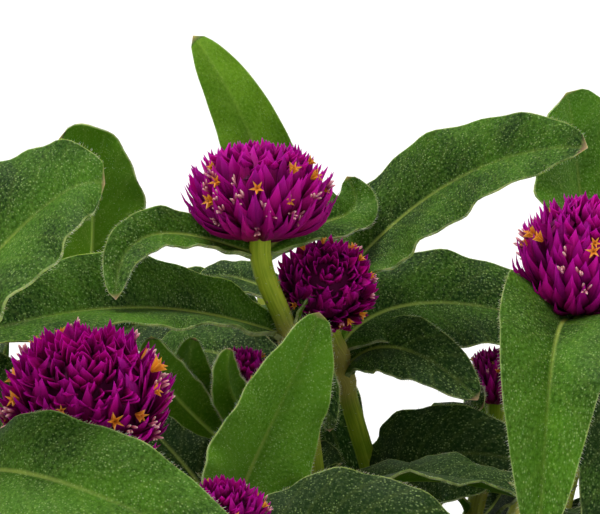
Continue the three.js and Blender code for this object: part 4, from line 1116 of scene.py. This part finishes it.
def add_florets(growth, plant, stars, tufts):
    """Orange stars round the upper sides, and faded tufts lower down."""
    scale = plant["radius"] / FULL_RADIUS
    by_hand = plant is plants[0]
    polar, azimuth = floret_places(FRONT_STARS if by_hand else [], stars, 46, 104)
    many = len(polar)
    roots = on_egg(plant, polar, azimuth, np.full(many, 0.85))
    ways = roots / [plant["radius"], plant["radius"], plant["height"] / 2] + [0, 0, 0.15]
    ways += rng.normal(0, 0.15, ways.shape)
    size = rng.uniform(0.85, 1.4, many) * scale
    places = to_world(plant, place_rods(STAR, roots, ways, size, size * rng.uniform(1.2, 1.9, many),
                                        rng.uniform(0, 6, (many, 1))))
    # The distance from the star's axis sets its colour: painted shade in the throat and at the
    # foot.
    out = np.hypot(*STAR["co"][:, :2].T)
    growth.add(STAR, places, WAX, share=np.stack([out, out, out], 1))
    polar, azimuth = floret_places(FRONT_TUFTS if by_hand else [], tufts, 68, 130)
    middles = on_egg(plant, polar, azimuth, np.full(len(polar), 0.9))
    roots = np.repeat(middles, TUFT_LOBES, axis=0)
    roots += rng.normal(0, 0.22, roots.shape) * scale
    ways = roots / plant["radius"] + [0, 0, 0.7] + rng.normal(0, 0.35, roots.shape)
    many = len(roots)
    places = place_rods(FINGER, roots, ways, rng.uniform(0.16, 0.28, many) * scale,
                        rng.uniform(1.3, 2.2, many) * scale)
    height = FINGER["co"][:, 2]
    growth.add(FINGER, to_world(plant, places), FADED, share=np.stack([height] * 3, 1))


# %% Build the flower heads
total = 0
for number, plant in enumerate(plants, 1):
    growth = Growth()
    size = np.array([plant["radius"], plant["radius"], plant["height"] / 2])
    drop = [0, 0, plant["height"] * CORE_DROP]
    core = to_world(plant, CORE["co"] * size * CORE_SHARE - drop)
    # The core is painted nearly black: painted shade deep in the head, between the bracts.
    growth.add(CORE, core[None], PAPER, blade=(0, 0, 0.4), share=(0, 0.15, -0.5))
    share = plant["radius"] * plant["height"] / FULL_AREA
    add_bracts(growth, plant, round(FULL_COUNT * share ** 0.6))
    add_florets(growth, plant, round(FULL_STARS * share ** 0.5), round(FULL_TUFTS * share ** 0.5))
    name = f"bloom_{number:02d}"
    mesh = growth.mesh(name + "_grown", BLOOM_FINISHES, sharp=60)
    new_piece(name + "_grown", mesh, name)
    total += triangles(mesh)
print("flower heads:", total, "triangles")

# %% [markdown]
# ## The pot
# A nursery pot is moulded in one piece: a thin tapered wall, a deeper rim band that lets pots
# stack, a foot ring, and drain holes in a groove so that water can run out on a flat shelf. The
# wall is a closed outline spun round the axis, with its corners rounded first by a bevel, and the
# holes are cut with a Boolean.

# %% Model the pot
def pot_mesh():
    band = POT_HEIGHT - POT_RIM_BAND
    outline = [
        (0, 0), (18, 0), (19, 1.5), (36, 1.5), (37, 0), (POT_BASE_RADIUS, 0),
        (POT_BODY_RADIUS, band), (POT_RIM_RADIUS, band), (POT_RIM_RADIUS, POT_HEIGHT),
        (POT_RIM_RADIUS - POT_WALL, POT_HEIGHT), (POT_RIM_RADIUS - 2.5, band + 2.5),
        (POT_BODY_RADIUS - POT_WALL, band - 1), (POT_BASE_RADIUS - POT_WALL, POT_FLOOR),
        (0, POT_FLOOR),
    ]
    bm = bmesh.new()
    ring = [bm.verts.new((r * MM, 0, z * MM)) for r, z in outline]
    for first, second in zip(ring, ring[1:]):
        bm.edges.new((first, second))
    bmesh.ops.bevel(bm, geom=ring[1:-1], offset=0.5 * MM, segments=3, profile=0.5,
                    affect="VERTICES", material=-1)
    bmesh.ops.spin(bm, geom=bm.verts[:] + bm.edges[:], cent=(0, 0, 0), axis=(0, 0, 1),
                   angle=2 * math.pi, steps=120, use_merge=True)
    bmesh.ops.remove_doubles(bm, verts=bm.verts[:], dist=0.01 * MM)
    bmesh.ops.recalc_face_normals(bm, faces=bm.faces[:])
    mesh = bpy.data.meshes.new("plastic_pot")
    bm.to_mesh(mesh)
    bm.free()
    return mesh


def drill_mesh():
    """Six upright drills on the circle of the drain holes."""
    bm = bmesh.new()
    for hole in range(6):
        turn = math.pi / 3 * hole
        made = bmesh.ops.create_cone(bm, cap_ends=True, segments=32, radius1=4.2 * MM,
                                     radius2=4.2 * MM, depth=16 * MM)
        bmesh.ops.translate(bm, verts=made["verts"],
                            vec=(27.5 * MM * math.cos(turn), 27.5 * MM * math.sin(turn), 0))
    mesh = bpy.data.meshes.new("drills")
    bm.to_mesh(mesh)
    bm.free()
    return mesh


def pot_material():
    material, tree, shader = start_material(
        "moulded_terracotta_polypropylene", Roughness=0.5, IOR=1.49, Specular_IOR_Level=0.5)
    spot = add_node(tree, "ShaderNodeTexCoord").outputs["Object"]
    cloud = add_node(tree, "ShaderNodeTexNoise", {"Vector": spot, "Scale": 30, "Detail": 5})
    # Scuffs run round the pot, where it has stood against others: 12 mm long and 0.6 mm high.
    flat = add_node(tree, "ShaderNodeMapping", {"Vector": spot, "Scale": (80, 80, 1600)})
    scuffs = add_node(tree, "ShaderNodeTexNoise", {"Vector": flat.outputs[0], "Scale": 1,
                                                   "Detail": 3})
    base = add_node(tree, "ShaderNodeMix", {0: cloud.outputs["Fac"], 6: colour("#92492b"),
                                            7: colour("#a9603d")}, data_type="RGBA")
    worn = add_node(tree, "ShaderNodeMapRange", {0: scuffs.outputs["Fac"], 1: 0.62, 2: 0.75,
                                                 4: 0.35})
    scuffed = add_node(tree, "ShaderNodeMix", {0: worn.outputs[0], 6: base.outputs[2],
                                               7: colour("#c08a6b")}, data_type="RGBA")
    # Dried splashes of peat thicken towards the rim.
    dust = add_node(tree, "ShaderNodeTexNoise", {"Vector": spot, "Scale": 700, "Detail": 3})
    level = add_node(tree, "ShaderNodeSeparateXYZ", {0: spot})
    near = add_node(tree, "ShaderNodeMapRange", {0: level.outputs["Z"], 1: 0.07, 2: 0.094,
                                                 3: 0.0, 4: 0.09})
    dirty = add_node(tree, "ShaderNodeMath", {0: dust.outputs["Fac"], 1: near.outputs[0]},
                     operation="ADD")
    speck = add_node(tree, "ShaderNodeMapRange", {0: dirty.outputs[0], 1: 0.66, 2: 0.72, 4: 0.7})
    dirtied = add_node(tree, "ShaderNodeMix", {0: speck.outputs[0], 6: scuffed.outputs[2],
                                               7: colour("#4a3020")}, data_type="RGBA")
    tree.links.new(dirtied.outputs[2], shader.inputs["Base Color"])
    rough = add_node(tree, "ShaderNodeMapRange", {0: cloud.outputs["Fac"], 3: 0.42, 4: 0.62})
    tree.links.new(rough.outputs[0], shader.inputs["Roughness"])
    grain = add_node(tree, "ShaderNodeTexNoise", {"Vector": spot, "Scale": 2500, "Detail": 2})
    bump = add_node(tree, "ShaderNodeBump", {"Height": grain.outputs["Fac"], "Strength": 0.25,
                                             "Distance": 0.00015})
    tree.links.new(bump.outputs[0], shader.inputs["Normal"])
    return material


pot = new_piece("plastic_pot", pot_mesh(), "pot")
drills = bpy.data.objects.new("drills", drill_mesh())
bpy.context.scene.collection.objects.link(drills)
cut = pot.modifiers.new("drain_holes", "BOOLEAN")
cut.operation, cut.object, cut.solver = "DIFFERENCE", drills, "EXACT"
bpy.context.view_layer.update()
pot.data = bpy.data.meshes.new_from_object(
    pot.evaluated_get(bpy.context.evaluated_depsgraph_get()))
pot.modifiers.clear()
bpy.data.objects.remove(drills)
pot.data.shade_smooth()
pot.data.set_sharp_from_angle(angle=math.radians(40))
pot.data.materials.clear()
pot.data.materials.append(pot_material())
print("pot:", triangles(pot.data), "triangles")

# %% [markdown]
# ## The compost
# Peat compost is crumbs and short fibres, with white grains of perlite and a few bits of bark. The
# bed is a grid pressed into a disc and roughened with noise, then drawn down at its edge to fill
# the pot. Loose crumbs and grains are small icospheres with their points pushed about.

# %% Model the compost
def model_bed(bm, steps):
    """A two by two grid pressed into a disc, with a wall and a floor below its edge."""
    bmesh.ops.create_grid(bm, x_segments=steps, y_segments=steps, size=1)
    for v in bm.verts:
        x, y = v.co.x, v.co.y
        v.co = (x * math.sqrt(1 - y * y / 2), y * math.sqrt(1 - x * x / 2), 0)
    edge = [e for e in bm.edges if e.is_boundary]
    lowered = bmesh.ops.extrude_edge_only(bm, edges=edge)["geom"]
    ring = [v for v in lowered if isinstance(v, bmesh.types.BMVert)]
    bmesh.ops.translate(bm, verts=ring, vec=(0, 0, -1))
    bmesh.ops.contextual_create(bm, geom=[e for e in bm.edges if e.is_boundary])


def model_crumb(bm):
    bmesh.ops.create_icosphere(bm, subdivisions=1, radius=1)
    for v in bm.verts:
        v.co *= 0.8 + 0.5 * noise.noise(v.co * 3.1)


def soil_material():
    material, tree, shader = start_material("peat_compost", Roughness=0.92, IOR=1.4,
                                            Specular_IOR_Level=0.25)
    spot = add_node(tree, "ShaderNodeTexCoord").outputs["Object"]
    crumbs = add_node(tree, "ShaderNodeTexVoronoi", {"Vector": spot, "Scale": 520})
    grain = add_node(tree, "ShaderNodeTexNoise", {"Vector": spot, "Scale": 900, "Detail": 5})
    tone = add_node(tree, "ShaderNodeMath", {0: crumbs.outputs["Distance"],
                                             1: grain.outputs["Fac"]}, operation="MULTIPLY")
    shade = set_ramp(add_node(tree, "ShaderNodeValToRGB", {0: tone.outputs[0]}),
                     (0.0, "#1d130c"), (0.2, "#3a281a"), (0.5, "#5c4129"))
    tree.links.new(shade.outputs[0], shader.inputs["Base Color"])
    bump = add_node(tree, "ShaderNodeBump", {"Height": tone.outputs[0], "Strength": 0.9,
                                             "Distance": 0.0008})
    tree.links.new(bump.outputs[0], shader.inputs["Normal"])
    return material


def grain_material(name, low, high, size):
    material, tree, shader = start_material(name, Roughness=0.85, IOR=1.4)
    spot = add_node(tree, "ShaderNodeTexCoord").outputs["Object"]
    pores = add_node(tree, "ShaderNodeTexNoise", {"Vector": spot, "Scale": 1 / size, "Detail": 4})
    shade = set_ramp(add_node(tree, "ShaderNodeValToRGB", {0: pores.outputs["Fac"]}),
                     (0.35, low), (0.65, high))
    tree.links.new(shade.outputs[0], shader.inputs["Base Color"])
    bump = add_node(tree, "ShaderNodeBump", {"Height": pores.outputs["Fac"], "Strength": 0.6,
                                             "Distance": 0.0003})
    tree.links.new(bump.outputs[0], shader.inputs["Normal"])
    return material


def roughness_of(points, size, height):
    """Crumbly relief in millimetres at points of the bed."""
    return np.array([noise.fractal(Vector(p) / size, 0.7, 2.1, 4) for p in points]) * height


BED, CRUMB = shape_of(model_bed, 84), shape_of(model_crumb)
bed = Growth()
x, y, z = BED["co"].T
edge_radius = POT_RIM_RADIUS - 2.5 - 0.6
places = np.stack([x * edge_radius, y * edge_radius, soil_height(x * edge_radius,
                                                                y * edge_radius)], 1)
lowered = z < -0.5
inside = np.clip((1 - np.hypot(x, y)) / 0.06, 0, 1)
places[:, 2] += roughness_of(places, 5.0, 1.1) * inside
shrink = (POT_BASE_RADIUS - POT_WALL - 0.6) / edge_radius
places[lowered] *= [shrink, shrink, 0]
places[lowered, 2] = POT_FLOOR + GAP
bed.add(BED, places[None], 0)

count = 900
turn, out = rng.uniform(0, 2 * np.pi, count), np.sqrt(rng.uniform(0, 1, count)) * 54
roots = np.stack([out * np.cos(turn), out * np.sin(turn),
                  soil_height(out * np.cos(turn), out * np.sin(turn))], 1)
ways = rng.normal(0, 1, (count, 3))
sizes = rng.gamma(3.0, 0.28, count) + 0.35
kinds = rng.choice([0, 1, 2], count, p=[0.84, 0.11, 0.05])
for kind, stretch in enumerate([1.0, 1.0, 2.6]):
    pick = kinds == kind
    bed.add(CRUMB, place_rods(CRUMB, roots[pick], ways[pick], sizes[pick],
                              sizes[pick] * stretch), kind)
mesh = bed.mesh("peat_compost_grown", [
    soil_material(), grain_material("white_perlite", "#cfcabd", "#f1eee6", 0.0008),
    grain_material("composted_bark", "#4b2d1a", "#7a4e2c", 0.0012)], sharp=35)
new_piece("peat_compost_grown", mesh, "compost")
print("compost:", triangles(mesh), "triangles")

# %% [markdown]
# ## Floor, light and camera
# The plant stands on a wide pale sheet under soft light: one wide soft lamp from above, and a
# white surround for fill that is brighter behind the plant and dimmer overhead. The camera looks
# from the front, a little down, through a long lens, and sees only the middle and top of it.

# %% Stage
def stage_floor():
    bm = bmesh.new()
    bmesh.ops.create_circle(bm, cap_ends=True, segments=96, radius=60)
    mesh = bpy.data.meshes.new("pale_floor")
    bm.to_mesh(mesh)
    bm.free()
    floor = bpy.data.objects.new("pale_floor", mesh)
    bpy.context.scene.collection.objects.link(floor)
    material, tree, shader = start_material("pale_matt_paper", Roughness=0.9, IOR=1.4)
    spot = add_node(tree, "ShaderNodeTexCoord").outputs["Object"]
    fibre = add_node(tree, "ShaderNodeTexNoise", {"Vector": spot, "Scale": 60, "Detail": 3})
    shade = set_ramp(add_node(tree, "ShaderNodeValToRGB", {0: fibre.outputs["Fac"]}),
                     (0.3, "#f5f4f2"), (0.7, "#faf9f8"))
    tree.links.new(shade.outputs[0], shader.inputs["Base Color"])
    mesh.materials.append(material)
    floor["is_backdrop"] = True


def add_lamp(name, from_way, strength):
    """A wide soft lamp far off in one direction, so that it lights the whole floor alike."""
    light = bpy.data.lights.new(name, "SUN")
    light.angle, light.energy = math.radians(28), strength
    lamp = bpy.data.objects.new(name, light)
    bpy.context.scene.collection.objects.link(lamp)
    lamp.rotation_euler = Vector(from_way).to_track_quat("Z", "Y").to_euler()


stage_floor()
world = bpy.data.worlds.new("white_surround")
bpy.context.scene.world = world
world.use_nodes = True
surround = world.node_tree.nodes["Background"]
sky_way = add_node(world.node_tree, "ShaderNodeTexCoord").outputs["Generated"]
sky_level = add_node(world.node_tree, "ShaderNodeSeparateXYZ", {0: sky_way})
dimmer = add_node(world.node_tree, "ShaderNodeMapRange", {0: sky_level.outputs["Z"], 1: 0.1,
                                                          2: 0.7, 3: 1.0, 4: 0.45})
behind = add_node(world.node_tree, "ShaderNodeMapRange", {0: sky_level.outputs["Y"], 1: -1.0,
                                                          2: 1.0, 3: 0.72, 4: 1.3})
fill = add_node(world.node_tree, "ShaderNodeMath", {0: dimmer.outputs[0], 1: behind.outputs[0]},
                operation="MULTIPLY")
world.node_tree.links.new(fill.outputs[0], surround.inputs["Strength"])
surround.inputs["Color"].default_value = (1, 1, 1, 1)
add_lamp("soft_key", (-0.3, -0.1, 1.0), 2.6)

camera_data = bpy.data.cameras.new("front_camera")
camera_data.lens, camera_data.sensor_width = 142.0, 36
camera = bpy.data.objects.new("front_camera", camera_data)
bpy.context.scene.collection.objects.link(camera)
camera.location = (0, -0.406, 0.225)
camera.rotation_euler = (math.radians(83), 0, 0)
bpy.context.scene.camera = camera
bpy.context.scene.view_settings.view_transform = "Standard"
print("camera at", tuple(camera.location))

# %% [markdown]
# ## Sizes and finish
# Both boxes are worked out at the end: the one of the solids and the one of the dressed plant.

# %% The sizes of both boxes
boxes = {"cad": cad_box, "visual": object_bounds()}
{name: [list(corner) for corner in box] for name, box in boxes.items()}
